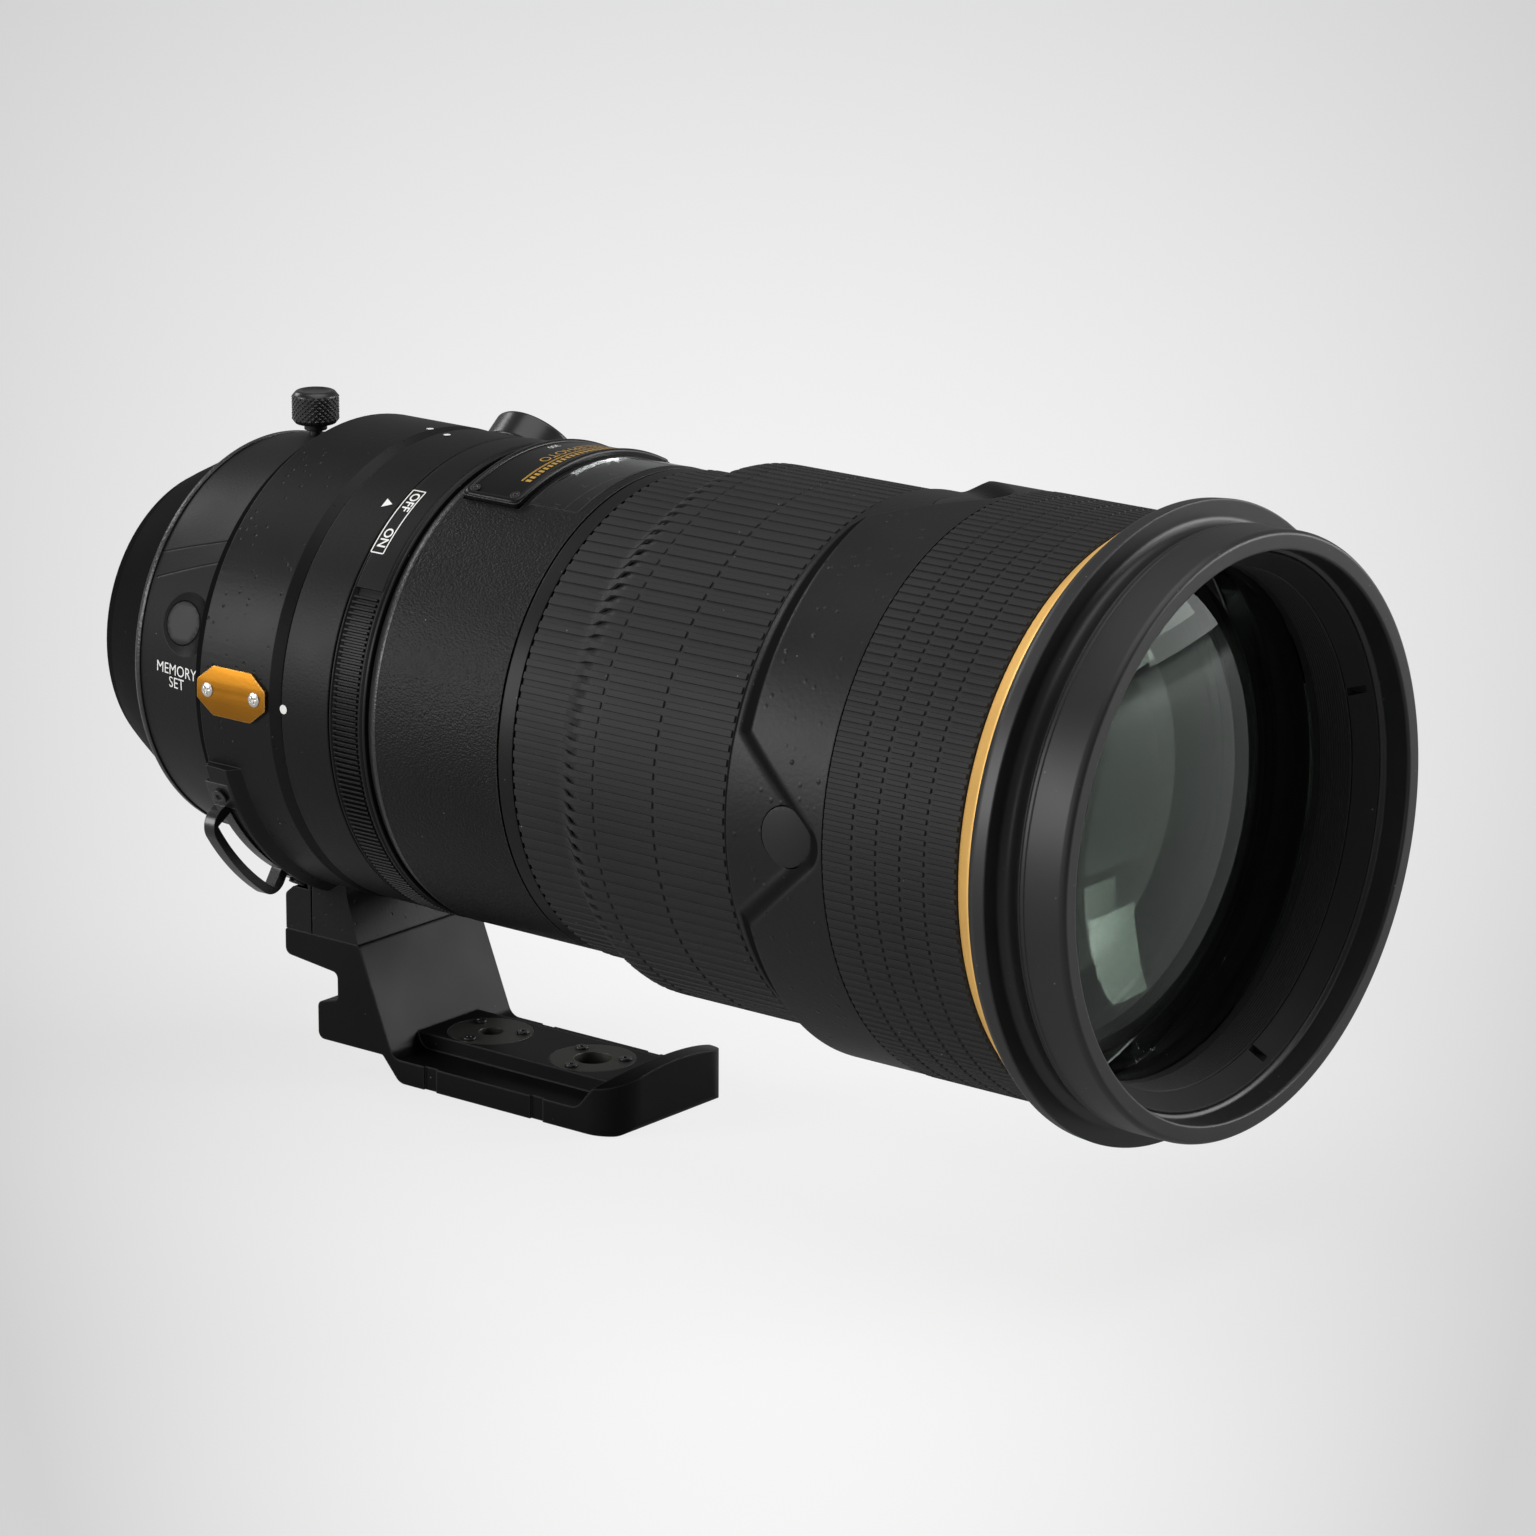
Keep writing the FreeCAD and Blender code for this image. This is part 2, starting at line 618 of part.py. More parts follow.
def make_collar():
    bore = collar_seat_radius + turning_gap
    ring = turned([(x_collar_rear, bore), (x_collar_front, bore),
                   (x_collar_front, collar_radius - 1.2), (x_collar_front - 2.2, collar_radius),
                   (x_collar_rear + 2.2, collar_radius), (x_collar_rear, collar_radius - 1.7)])
    neck_points = [(x_neck_rear, -foot_parting), (x_neck_front + 0.4, -foot_parting),
                   (x_neck_front - 2.8, -foot_parting + 10.4), (x_neck_front - 3.0, -30.0),
                   (x_collar_rear + 1.0, -30.0), (x_collar_rear + 1.0, -foot_parting + 10.6),
                   (x_neck_rear, -foot_parting + 7.6)]
    neck = profile_block(neck_points, {2: 5.0, 6: 1.2}, neck_half_width)
    neck = neck.cut(disc(0, x_front, collar_radius - 1.5))
    boss = peg(x_lock, lock_knob_angle, lock_boss_radius, collar_seat_radius + 2.5, collar_radius + 2.6)
    lug_frame = lug_boss()
    collar = fused([ring, neck, boss, lug_frame, mirrored(lug_frame)])
    # Shallow line down each side of the neck
    x_neck_line = x_collar_rear + 4.4
    neck_line_height = 10.5
    collar = cut(collar, [box(x_neck_line, x_neck_line + 0.5, y_from, y_from + 0.9, -foot_parting,
                              -foot_parting + neck_line_height)
                          for y_from in (-neck_half_width - 0.4, neck_half_width - 0.5)])
    stem_hole = peg(x_lock, lock_knob_angle, lock_stem_radius + running_gap, chassis_bore,
                    collar_radius + lock_knob_height)
    collar = collar.cut(stem_hole)
    screw_holes = []
    for angle in lug_screw_angles():
        hole = peg(x_lug + lug_tab_width / 2, angle, 0.85, collar_seat_radius + 1.5,
                   collar_radius + lug_boss_rise + 1)
        screw_holes += [hole, mirrored(hole)]
    for offset in (-side_plate_length / 2 + 2.9, side_plate_length / 2 - 2.9):
        screw_holes.append(peg(x_side_plate + offset, side_plate_angle, 0.65,
                               collar_seat_radius + 2.5, collar_radius + 2))
    for side in (-1, 1):
        screw_holes.append(Part.makeCylinder(foot_screw_radius + running_gap, 9.2,
                                             Vector(x_foot_screw, side * foot_screw_y,
                                                    -foot_parting - 0.2), UP))
    nodes["collar_ring"] = cut(collar, screw_holes)

    plate_skin = tube(x_collar_rear, x_collar_front, collar_radius + 0.02,
                      collar_radius + side_plate_thickness)
    plate = side_plate_outline(0, collar_radius - 2, collar_radius + 3).common(plate_skin)
    for offset in (-side_plate_length / 2 + 2.9, side_plate_length / 2 - 2.9):
        plate = plate.cut(peg(x_side_plate + offset, side_plate_angle, 0.65,
                              collar_seat_radius + 2.5, collar_radius + 2))
    nodes["side_plate"] = plate
    lug = lug_shape()
    nodes["strap_lugs"] = Part.makeCompound([lug, mirrored(lug)])

    knob_base = collar_radius + 2.9
    knob = peg(x_lock, lock_knob_angle, lock_knob_radius, knob_base, knob_base + lock_knob_height)
    rim = [edge for edge in knob.Edges if edge.Closed and edge.CenterOfMass.Length > 10]
    knob = knob.makeFillet(0.9, rim)
    dish = peg(x_lock, lock_knob_angle, lock_knob_radius - 2.4, knob_base + lock_knob_height - 0.5,
               knob_base + lock_knob_height + 1)
    stem = peg(x_lock, lock_knob_angle, lock_stem_radius, collar_seat_radius + turning_gap + 0.2,
               knob_base + 1)
    nodes["lock_knob"] = knob.cut(dish).fuse(stem).removeSplitter()


# Foot

foot_screw_radius = 1.95
foot_screw_y = 10.5
x_foot_screw = foot_rear + 4.9
pad_top = -foot_depth + plate_thickness + socket_pad_height


def socket_screw_points():
    points = []
    for station in socket_stations:
        for angle in spread(3, 30.0):
            turn = math.radians(angle)
            reach = socket_disc_radius - 2.1
            points.append(Vector(station + reach * math.cos(turn), reach * math.sin(turn), pad_top))
    return points


def make_foot():
    top = -foot_parting
    bottom = -foot_depth
    plate_top = bottom + plate_thickness
    block_bottom = -foot_block_bottom
    x_web = foot_rear + 14.6
    x_hook = foot_rear + 9.0
    points = [(foot_rear, top), (x_web + 6.0, top), (x_web + 15.2, plate_top),
              (foot_front - 10.6, plate_top), (foot_front - 6.6, plate_top + 4.8),
              (foot_front - 3.4, plate_top + 8.2), (foot_front, plate_top + 8.2),
              (foot_front, bottom), (x_web + 17.0, bottom), (x_web + 12.4, bottom + 5.2),
              (x_hook, bottom + 5.2), (x_hook, bottom + 13.2), (x_web, bottom + 14.6),
              (x_web, block_bottom - 1.6), (foot_rear, block_bottom)]
    rounds = {1: 0.8, 2: 3.0, 3: 4.0, 7: 2.6, 8: 3.0, 9: 1.0, 10: 1.6, 11: 1.4, 12: 1.0, 13: 1.4,
              14: 1.6, 0: 0.8}
    foot = profile_block(points, rounds, neck_half_width)
    # The toe is crowned across its width and rounded at its front corners
    crown_sagitta = 3.0
    crown_radius = (neck_half_width ** 2 + crown_sagitta ** 2) / (2 * crown_sagitta)
    crown_top = plate_top + 7.8
    toe_cutter = box(foot_front - 12, foot_front + 2, -neck_half_width - 1, neck_half_width + 1,
                     plate_top + 1, crown_top + 6)
    crown = Part.makeCylinder(crown_radius, 40, Vector(foot_front - 20, 0, crown_top - crown_radius),
                              AXIS)
    foot = foot.cut(toe_cutter.cut(crown))
    corner_radius = 8.0
    plan_points = [(foot_rear - 5, -neck_half_width), (foot_front, -neck_half_width),
                   (foot_front, neck_half_width), (foot_rear - 5, neck_half_width)]
    plan = outline(plan_points, {1: corner_radius, 2: corner_radius},
                   lambda p: Vector(p.x, p.y, bottom - 5))
    foot = foot.common(Part.Face(plan).extrude(Vector(0, 0, foot_depth)))
    # Raised pad for the sockets, and the two shallow grooves in each side
    pad = box(foot_rear + 27.0, foot_front - 8.0, -socket_pad_half_width, socket_pad_half_width,
              plate_top - 1, pad_top)
    arm_side = profile_block([(x_web + 6, top), (foot_front, top), (foot_front, plate_top - 2),
                              (x_web + 15.2, plate_top - 2)], {}, neck_half_width)
    foot = fused([foot, pad.common(arm_side)])
    groove_depth = 0.5
    tools = []
    for x_groove in (foot_rear + 38.4, foot_rear + 67.3):
        for side in (-1, 1):
            y_edge = side * (neck_half_width - groove_depth)
            y_low, y_high = sorted((y_edge, side * (neck_half_width + 1)))
            tools.append(box(x_groove, x_groove + 3.4, y_low, y_high, bottom - 1, plate_top + 1))
    for station in socket_stations:
        tools.append(Part.makeCylinder(socket_disc_radius + running_gap, 3,
                                       Vector(station, 0, pad_top - 2.0), UP))
        tools.append(Part.makeCylinder(socket_body_radius + running_gap, 20,
                                       Vector(station, 0, bottom - 1), UP))
    for point in socket_screw_points():
        tools.append(Part.makeCylinder(0.75, 6.0, point - UP * 5.0, UP))
    for side in (-1, 1):
        base = Vector(x_foot_screw, side * foot_screw_y, block_bottom - 5)
        tools.append(Part.makeCylinder(foot_screw_radius + running_gap, 20, base, UP))
        tools.append(Part.makeCylinder(3.6, 5 + 3.2, base, UP))
    nodes["collar_foot"] = cut(foot, tools)

    sockets = []
    for station, bore in zip(socket_stations, socket_bores):
        flange = Part.makeCylinder(socket_disc_radius, 2.0, Vector(station, 0, pad_top - 2.0), UP)
        body = Part.makeCylinder(socket_body_radius, pad_top - bottom, Vector(station, 0, bottom), UP)
        bush = flange.fuse(body).removeSplitter()
        bush = bush.cut(Part.makeCylinder(bore, 20, Vector(station, 0, bottom - 5), UP))
        for point in socket_screw_points():
            bush = bush.cut(Part.makeCylinder(0.75, 6.0, point - UP * 5.0, UP))
        sockets.append(bush)
    nodes["foot_sockets"] = Part.makeCompound(sockets)

    screws = [round_head_screw(point, UP, 1.35, 0.5, 0.7, 4.5) for point in socket_screw_points()]
    for offset in (-side_plate_length / 2 + 2.9, side_plate_length / 2 - 2.9):
        base = around(x_side_plate + offset, collar_radius + side_plate_thickness, side_plate_angle)
        screws.append(round_head_screw(base, outward(side_plate_angle), 1.3, 0.45, 0.6, 2.6))
    for angle in lug_screw_angles():
        base = around(x_lug + lug_tab_width / 2, collar_radius + seat_gap + 1.0, angle)
        lug_screw = round_head_screw(base, outward(angle), 1.7, 0.8, 0.8, 3.6)
        screws += [lug_screw, mirrored(lug_screw)]
    for side in (-1, 1):
        base = Vector(x_foot_screw, side * foot_screw_y, block_bottom + 3.2 - seat_gap)
        screws.append(round_head_screw(base, -UP, 3.2, 2.4, foot_screw_radius, 11.0))
    nodes["collar_screws"] = Part.makeCompound(screws)


# Index ring and stabiliser switch ring

x_switch_rear = x_index_front + seam


def make_index_and_switch():
    x_rear = x_collar_front + seam
    shoulder = x_rear + 2.7
    nodes["index_ring"] = turned([
        (x_rear, chassis_bore), (x_rear, collar_radius - 0.3), (x_rear + 0.3, collar_radius),
        (x_index_front - 0.3, collar_radius), (x_index_front, collar_radius - 0.3),
        (x_index_front, switch_seat), (x_main_rear, switch_seat), (x_main_rear, sleeve_bore),
        (shoulder, sleeve_bore), (shoulder, chassis_bore)])
    x_front_edge = x_main_rear - seam
    nodes["switch_ring"] = tube(x_switch_rear, x_front_edge, switch_bore, ring_radius, 0.4)


# Main barrel with window, top plate and switch panel

web_thickness = 2.5
x_plate_rear = x_main_rear + 3.2
x_plate_front = x_plate_rear + plate_length
x_window_rear = x_plate_front + 1.4
x_window_front = x_window_rear + window_length
x_panel_rear = x_main_rear + 3.5
x_panel_front = x_panel_rear + panel_length
panel_radius = ring_radius + panel_rise
panel_floor = ring_radius - 0.9
slider_rows = (-9.5, 9.5)
slider_columns = (7.5, 19.5)
plate_top_radius = ring_radius + plate_rise
plate_seat_radius = ring_radius - 0.8


def cover_screw_places():
    places = []
    for x in (x_plate_rear + 2.2, x_plate_front - 2.2):
        for side in (-1, 1):
            places.append((x, TOP + side * (plate_half_angle - 2.6), plate_top_radius))
    for x in (x_panel_rear + 1.9, x_panel_front - 1.9):
        for side in (-1, 1):
            places.append((x, side * (panel_half_angle - 2.4), panel_radius))
    return places


def make_main_barrel():
    inner_step = x_main_rear + web_thickness
    barrel = turned([
        (x_main_rear, lens_bore), (x_main_rear, ring_radius - 1.7),
        (x_main_rear + 2.0, ring_radius), (x_main_front, ring_radius), (x_main_front, main_bore),
        (inner_step, main_bore), (inner_step, lens_bore)])
    plate_pocket = sector(x_plate_rear - seat_gap, x_plate_front + seat_gap, plate_seat_radius,
                          ring_radius + 2, TOP - plate_half_angle - 0.1, 2 * plate_half_angle + 0.2)
    pane_inner = ring_radius - pane_thickness
    window_pocket = sector(x_window_rear, x_window_front, pane_inner, ring_radius + 2,
                           TOP - window_half_angle, 2 * window_half_angle)
    ledge_angle = math.degrees(window_ledge / ring_radius)
    window_hole = sector(x_window_rear + window_ledge, x_window_front - window_ledge, main_bore - 1,
                         ring_radius, TOP - window_half_angle + ledge_angle,
                         2 * (window_half_angle - ledge_angle))
    panel_pocket = sector(x_panel_rear - seat_gap, x_panel_front + seat_gap, panel_floor,
                          ring_radius + 2, -panel_half_angle - 0.1, 2 * panel_half_angle + 0.2)
    holes = [peg(x, angle, 0.65, radius - 5.2, radius) for x, angle, radius in cover_screw_places()]
    nodes["main_barrel"] = cut(barrel, [plate_pocket, window_pocket, window_hole, panel_pocket] + holes)
    nodes["distance_window"] = sector(x_window_rear + seat_gap, x_window_front - seat_gap,
                                      pane_inner, ring_radius + 0.05,
                                      TOP - window_half_angle + 0.1, 2 * window_half_angle - 0.2)
    plate = sector(x_plate_rear, x_plate_front, plate_seat_radius, plate_top_radius,
                   TOP - plate_half_angle, 2 * plate_half_angle)
    corners = [edge for edge in plate.Edges
               if edge.Length < plate_rise + 2 and abs(edge.CenterOfMass.y) > 15]
    plate = plate.makeFillet(1.2, corners)
    nodes["top_plate"] = cut(plate, [peg(x, angle, 0.65, radius - 5, radius + 1)
                                     for x, angle, radius in cover_screw_places()])
    screws = [round_head_screw(around(x, radius, angle), outward(angle), 1.05, 0.35, 0.6, 2.6)
              for x, angle, radius in cover_screw_places()]
    nodes["cover_screws"] = Part.makeCompound(screws)
    make_switch_panel()


def make_switch_panel():
    panel = sector(x_panel_rear, x_panel_front, panel_floor, panel_radius,
                   -panel_half_angle, 2 * panel_half_angle)
    corners = [edge for edge in panel.Edges if edge.Length < panel_rise + 2]
    panel = panel.makeFillet(1.4, corners)
    tools = [peg(x, angle, 0.65, radius - 5, radius + 1) for x, angle, radius in cover_screw_places()]
    slot_depth = 1.0
    travel = slider_travel
    for row in slider_rows:
        for column in slider_columns:
            x_middle = x_panel_rear + column
            half = slider_width / 2 + 0.25
            tools.append(sector(x_middle - half, x_middle + half, panel_radius - slot_depth,
                                panel_radius + 1, row - slider_angle / 2 - travel / 2 - 0.4,
                                slider_angle + travel + 0.8))
    nodes["switch_panel"] = cut(panel, tools)
    names = ("focus_mode_slider", "focus_range_slider", "stabiliser_slider", "recall_slider")
    for index, name in enumerate(names):
        row = slider_rows[index // 2]
        x_middle = x_panel_rear + slider_columns[index % 2]
        half = slider_width / 2
        start = row - slider_angle / 2 - travel / 2
        base = sector(x_middle - half, x_middle + half, panel_radius - slot_depth + running_gap,
                      panel_radius + 0.3, start, slider_angle)
        ridge = sector(x_middle - half, x_middle + half, panel_radius, panel_radius + slider_rise,
                       start + slider_angle * 0.3, slider_angle * 0.4)
        nodes[name] = fused([base, ridge])


# Focus ring with its rubber grip

focus_bore = ring_radius - casing_wall
focus_sleeve_radius = focus_bore - turning_gap
x_focus_rear = x_main_front + seam
grip_rear_band = 3.8
x_focus_grip = x_focus_rear + grip_rear_band
x_ramp_rear = x_focus_rear + 17.2
x_ramp_front = x_focus_rear + 22.4


def grip_bar(points, width):
    """One raised bar that follows the (x, radius) points of a sleeve's crest, sunk into its floor."""
    sunk = bar_rise + seat_gap
    angle = math.degrees(width / points[-1][1])
    foot = [(x, radius - sunk) for x, radius in reversed(points)]
    return turned(list(points) + foot, start=-angle / 2, sweep=angle)


def barred(sleeve, bricks, count):
    """The sleeve with its bricks repeated all round."""
    bars = []
    for angle in spread(count):
        for brick in bricks:
            bar = brick.copy()
            bar.rotate(ORIGIN, AXIS, angle)
            bars.append(bar)
    return sleeve.multiFuse(bars).removeSplitter()


def make_focus_ring():
    rear_core = focus_rear_radius - grip_thickness
    front_core = focus_front_radius - grip_thickness
    x_pocket_rear = x_ramp_front + 2.5
    x_pocket_front = x_focus_front - 3.5
    nodes["focus_ring"] = turned([
        (x_focus_rear, focus_bore), (x_focus_rear, ring_radius - 0.3),
        (x_focus_rear + 0.3, ring_radius), (x_focus_grip, ring_radius), (x_focus_grip, rear_core),
        (x_ramp_rear, rear_core), (x_ramp_front, front_core), (x_focus_front, front_core),
        (x_focus_front, focus_bore), (x_pocket_front, focus_bore),
        (x_pocket_front, front_core - casing_wall), (x_pocket_rear, front_core - casing_wall),
        (x_pocket_rear, focus_bore)])
    rear_floor = focus_rear_radius - bar_rise
    front_floor = focus_front_radius - bar_rise
    x_crest = x_ramp_rear - 0.4
    sleeve = turned([
        (x_focus_grip + 0.05, rear_core), (x_focus_grip + 0.05, rear_floor), (x_crest, rear_floor),
        (x_ramp_front, front_floor), (x_focus_front, front_floor), (x_focus_front, front_core),
        (x_ramp_front, front_core), (x_ramp_rear, rear_core)])
    x_breaks = [x_focus_grip + reach for reach in focus_bar_breaks]
    half_break = bar_break / 2
    bricks = [grip_bar([(x_focus_grip + bar_break, focus_rear_radius), (x_crest, focus_rear_radius),
                        (x_ramp_front, focus_front_radius),
                        (x_breaks[0] - half_break, focus_front_radius)], focus_bar_width)]
    for x_rear, x_fore in zip(x_breaks, x_breaks[1:] + [x_focus_front - half_break]):
        bricks.append(grip_bar([(x_rear + half_break, focus_front_radius),
                                (x_fore - half_break, focus_front_radius)], focus_bar_width))
    nodes["focus_grip"] = barred(sleeve, bricks, focus_bar_count)


# Front barrel with the four button recesses, and its grip

x_shoulder = x_focus_front + seam
x_button = x_shoulder + button_inset
sleeve_wall = 1.5


def recess_tool(angle):
    """A forward-pointing recess with sloping walls and a rounded tip, as deep as recess_radius."""
    def layer(spread_out, radius):
        half = front_radius * math.sin(math.radians(recess_half_angle)) + spread_out
        tip = button_inset + recess_tip_radius + spread_out * 0.75 + 2.6
        points = [(x_shoulder - 4, -half - 4), (x_shoulder + 3.4, -half),
                  (x_shoulder + tip, 0), (x_shoulder + 3.4, half), (x_shoulder - 4, half + 4)]
        return outline(points, {2: recess_tip_radius + spread_out * 0.5},
                       lambda p: Vector(p.x, radius, p.y))
    low = layer(-3.2, recess_radius - 8)
    high = layer(1.6, front_radius + 3)
    tool = Part.makeLoft([low, high], True, True)
    tool = tool.cut(disc(x_shoulder - 8, x_front, recess_radius))
    tool.rotate(ORIGIN, AXIS, angle)
    return tool


def make_front_barrel():
    grip_seat = front_radius - grip_thickness
    rear_bore = recess_radius - casing_wall
    front_bore = grip_seat - 1.5
    sleeve_bore_radius = focus_sleeve_radius - sleeve_wall
    x_bore_step = x_grip_rear + 0.5
    plug = 1.4
    barrel = turned([
        (x_main_front - plug, sleeve_bore_radius), (x_main_front - plug, main_bore - seat_gap),
        (x_main_front, main_bore - seat_gap), (x_main_front, focus_sleeve_radius),
        (x_shoulder, focus_sleeve_radius), (x_shoulder, recess_radius - 0.4),
        (x_shoulder + 0.4, recess_radius), (x_shoulder + shoulder_slope, front_radius - 0.3),
        (x_shoulder + shoulder_slope + 3, front_radius), (x_grip_rear, front_radius),
        (x_grip_rear, grip_seat), (x_tube_rear, grip_seat), (x_tube_rear, front_bore),
        (x_bore_step, front_bore), (x_bore_step, rear_bore), (x_shoulder + 2, rear_bore),
        (x_shoulder + 2, sleeve_bore_radius)])
    tools = [recess_tool(angle) for angle in focus_button_angles]
    for angle in focus_button_angles:
        tools.append(peg(x_button, angle, focus_button_radius + button_gap, recess_radius - 5,
                         front_radius + 5))
    nodes["front_barrel"] = cut(barrel, tools)
    crest = front_radius + 0.1
    sleeve = tube(x_grip_rear + 0.05, x_grip_front, grip_seat, crest - bar_rise)
    pitch = (grip_length - bar_break) / front_bar_rows
    bricks = []
    for row in range(front_bar_rows):
        x_brick = x_grip_rear + bar_break + pitch * row
        bricks.append(grip_bar([(x_brick, crest), (x_brick + pitch - bar_break, crest)], front_bar_width))
    nodes["front_grip"] = barred(sleeve, bricks, front_bar_count)
    names = ("focus_button_top", "focus_button_near", "focus_button_bottom", "focus_button_far")
    for name, angle in zip(names, focus_button_angles):
        button = peg(x_button, angle, focus_button_radius, recess_radius - casing_wall + 0.9,
                     recess_radius + 0.9)
        dome_radius = 38.0
        dome = Part.makeSphere(dome_radius, around(x_button, recess_radius + 0.55 - dome_radius, angle))
        nodes[name] = button.common(dome)


# Trim ring and front tube

x_glass_edge = x_flange_front - 5.0
x_baffle_rear = x_tube_rear + 0.5
x_baffle_front = x_flange_front + 4.6
x_retainer_front = x_flange_front + 9.1
baffle_wall = 3.7
baffle_crest = tube_bore - baffle_wall


def make_front():
    grip_seat = front_radius - grip_thickness
    nodes["gold_ring"] = turned([
        (x_grip_front + 0.1, grip_seat + 0.02), (x_grip_front + 0.1, front_radius - 0.1),
        (x_tube_rear - 0.1, trim_radius), (x_tube_rear - 0.1, grip_seat + 0.02)])
    x_groove = x_flange_front + 5.2
    hollow = front_tube_radius - 1.6
    nodes["front_tube"] = turned([
        (x_tube_rear, tube_bore), (x_tube_rear, trim_radius + 0.1),
        (x_tube_rear + 1.6, hood_flange_radius), (x_flange_front - 0.3, hood_flange_radius),
        (x_flange_front, hood_flange_radius - 0.3), (x_flange_front, hollow + 1.2),
        (x_flange_front + 1.2, hollow), (x_groove - 1.8, hollow),
        (x_groove - 0.2, front_tube_radius), (x_groove, front_tube_radius - 0.4),
        (x_groove + 0.25, front_tube_radius), (x_front - 0.6, front_tube_radius),
        (x_front, front_tube_radius - 0.6), (x_front, aperture_radius + 0.2),
        (x_front - 0.3, aperture_radius), (x_retainer_front + 0.6, aperture_radius - 0.1),
        (x_retainer_front + 0.1, tube_bore)])
    retainer = turned([
        (x_baffle_front, baffle_crest + 0.4), (x_baffle_front, tube_bore - seat_gap),
        (x_retainer_front, tube_bore - seat_gap), (x_retainer_front, tube_bore - 0.5),
        (x_baffle_front + 0.5, baffle_crest + 0.2)])
    notch_half = 0.9
    notches = [box(x_baffle_front + 0.4, x_retainer_front + 1, baffle_crest - 1.8, tube_bore - 1.2,
                   -notch_half, notch_half) for _ in range(4)]
    for angle, notch in zip(spread(4, 20.0), notches):
        notch.rotate(ORIGIN, AXIS, angle)
    nodes["retaining_ring"] = cut(retainer, notches)
    # Baffle with fine stray-light ribs, cut as one saw-tooth outline
    rib_pitch = 0.6
    x_rib_start = x_baffle_rear + 1.2
    rib_count = int((x_baffle_front - 0.2 - x_rib_start) / rib_pitch)
    root = baffle_crest + 0.45
    teeth = [(x_baffle_rear, baffle_crest)]
    for index in range(rib_count):
        x_tooth = x_rib_start + rib_pitch * index
        teeth += [(x_tooth, baffle_crest), (x_tooth + rib_pitch * 0.5, root)]
    teeth.append((x_baffle_front - 0.05, baffle_crest))
    nodes["front_baffle"] = turned(teeth + [(x_baffle_front - 0.05, tube_bore - seat_gap),
                                            (x_baffle_rear, tube_bore - seat_gap)])


# Optics that do not move

x_front_cell = x_grip_rear + 0.6
x_second = x_front_cell + 1.9
x_first = x_front_cell + 16.6
rod_inset = 1.1
rod_radius = lever_land_radius - rod_inset
rod_thickness = 0.8
lever_angle = 200.0
lever_wall = 1.4
lever_ring_width = 5.1
rod_angle = 235.0
x_rear_cell = x_collar_rear + 3.0
x_actuator = x_collar_rear + 16.5
x_iris = x_actuator + 2.0
x_stabiliser = x_collar_front + 6.2
iris_flange_width = 4.5
iris_case_wall = 1.2
iris_case_length = 7.0
iris_blade_thickness = 0.2
iris_blade_angle = 70.0


def make_fixed_optics():
    outer = front_radius - grip_thickness - 1.5 - seat_gap * 2
    first_bore = front_glass_radius + glass_gap
    second_bore = second_element_radius + glass_gap
    x_step_cell = x_first - 1.5
    x_end = x_tube_rear - seat_gap
    nodes["front_cell"] = turned([
        (x_front_cell, second_bore - 1.6), (x_front_cell, outer), (x_end, outer), (x_end, first_bore),
        (x_step_cell + 1.4, first_bore), (x_step_cell + 1.4, first_bore - 1.8),
        (x_step_cell, first_bore - 1.8), (x_step_cell, second_bore),
        (x_front_cell + 1.5, second_bore), (x_front_cell + 1.5, second_bore - 1.6)])
    nodes["second_element"] = lens_element(x_second, x_second + 6.0, second_element_radius, -3.5, -4.0)
    nodes["front_element"] = lens_element(x_first, x_first + 6.5, front_glass_radius, 0.8, 7.5)
    nodes["front_glass"] = lens_element(x_glass_edge - 4.0, x_glass_edge, front_glass_radius, 4.0, 4.5)

    flange_slot = sector(x_rear_cell - 1, x_rear_cell + 3, rod_radius - 1.6, rod_radius + 1.6,
                         rod_angle - 4, aperture_turn + 8)
    cell = turned([(x_rear_cell, rear_element_radius + glass_gap),
                   (x_rear_cell, chassis_bore - seat_gap),
                   (x_rear_cell + 2.0, chassis_bore - seat_gap), (x_rear_cell + 2.0, 26.0),
                   (x_rear_cell + 11.0, 26.0), (x_rear_cell + 11.0, rear_element_radius - 1.5),
                   (x_rear_cell + 9.5, rear_element_radius - 1.5),
                   (x_rear_cell + 9.5, rear_element_radius + glass_gap)])
    nodes["rear_cell"] = cell.cut(flange_slot)
    nodes["rear_element"] = lens_element(x_rear_cell + 3.0, x_rear_cell + 9.2, rear_element_radius,
                                         -2.0, 1.2)


# Iris with its lever

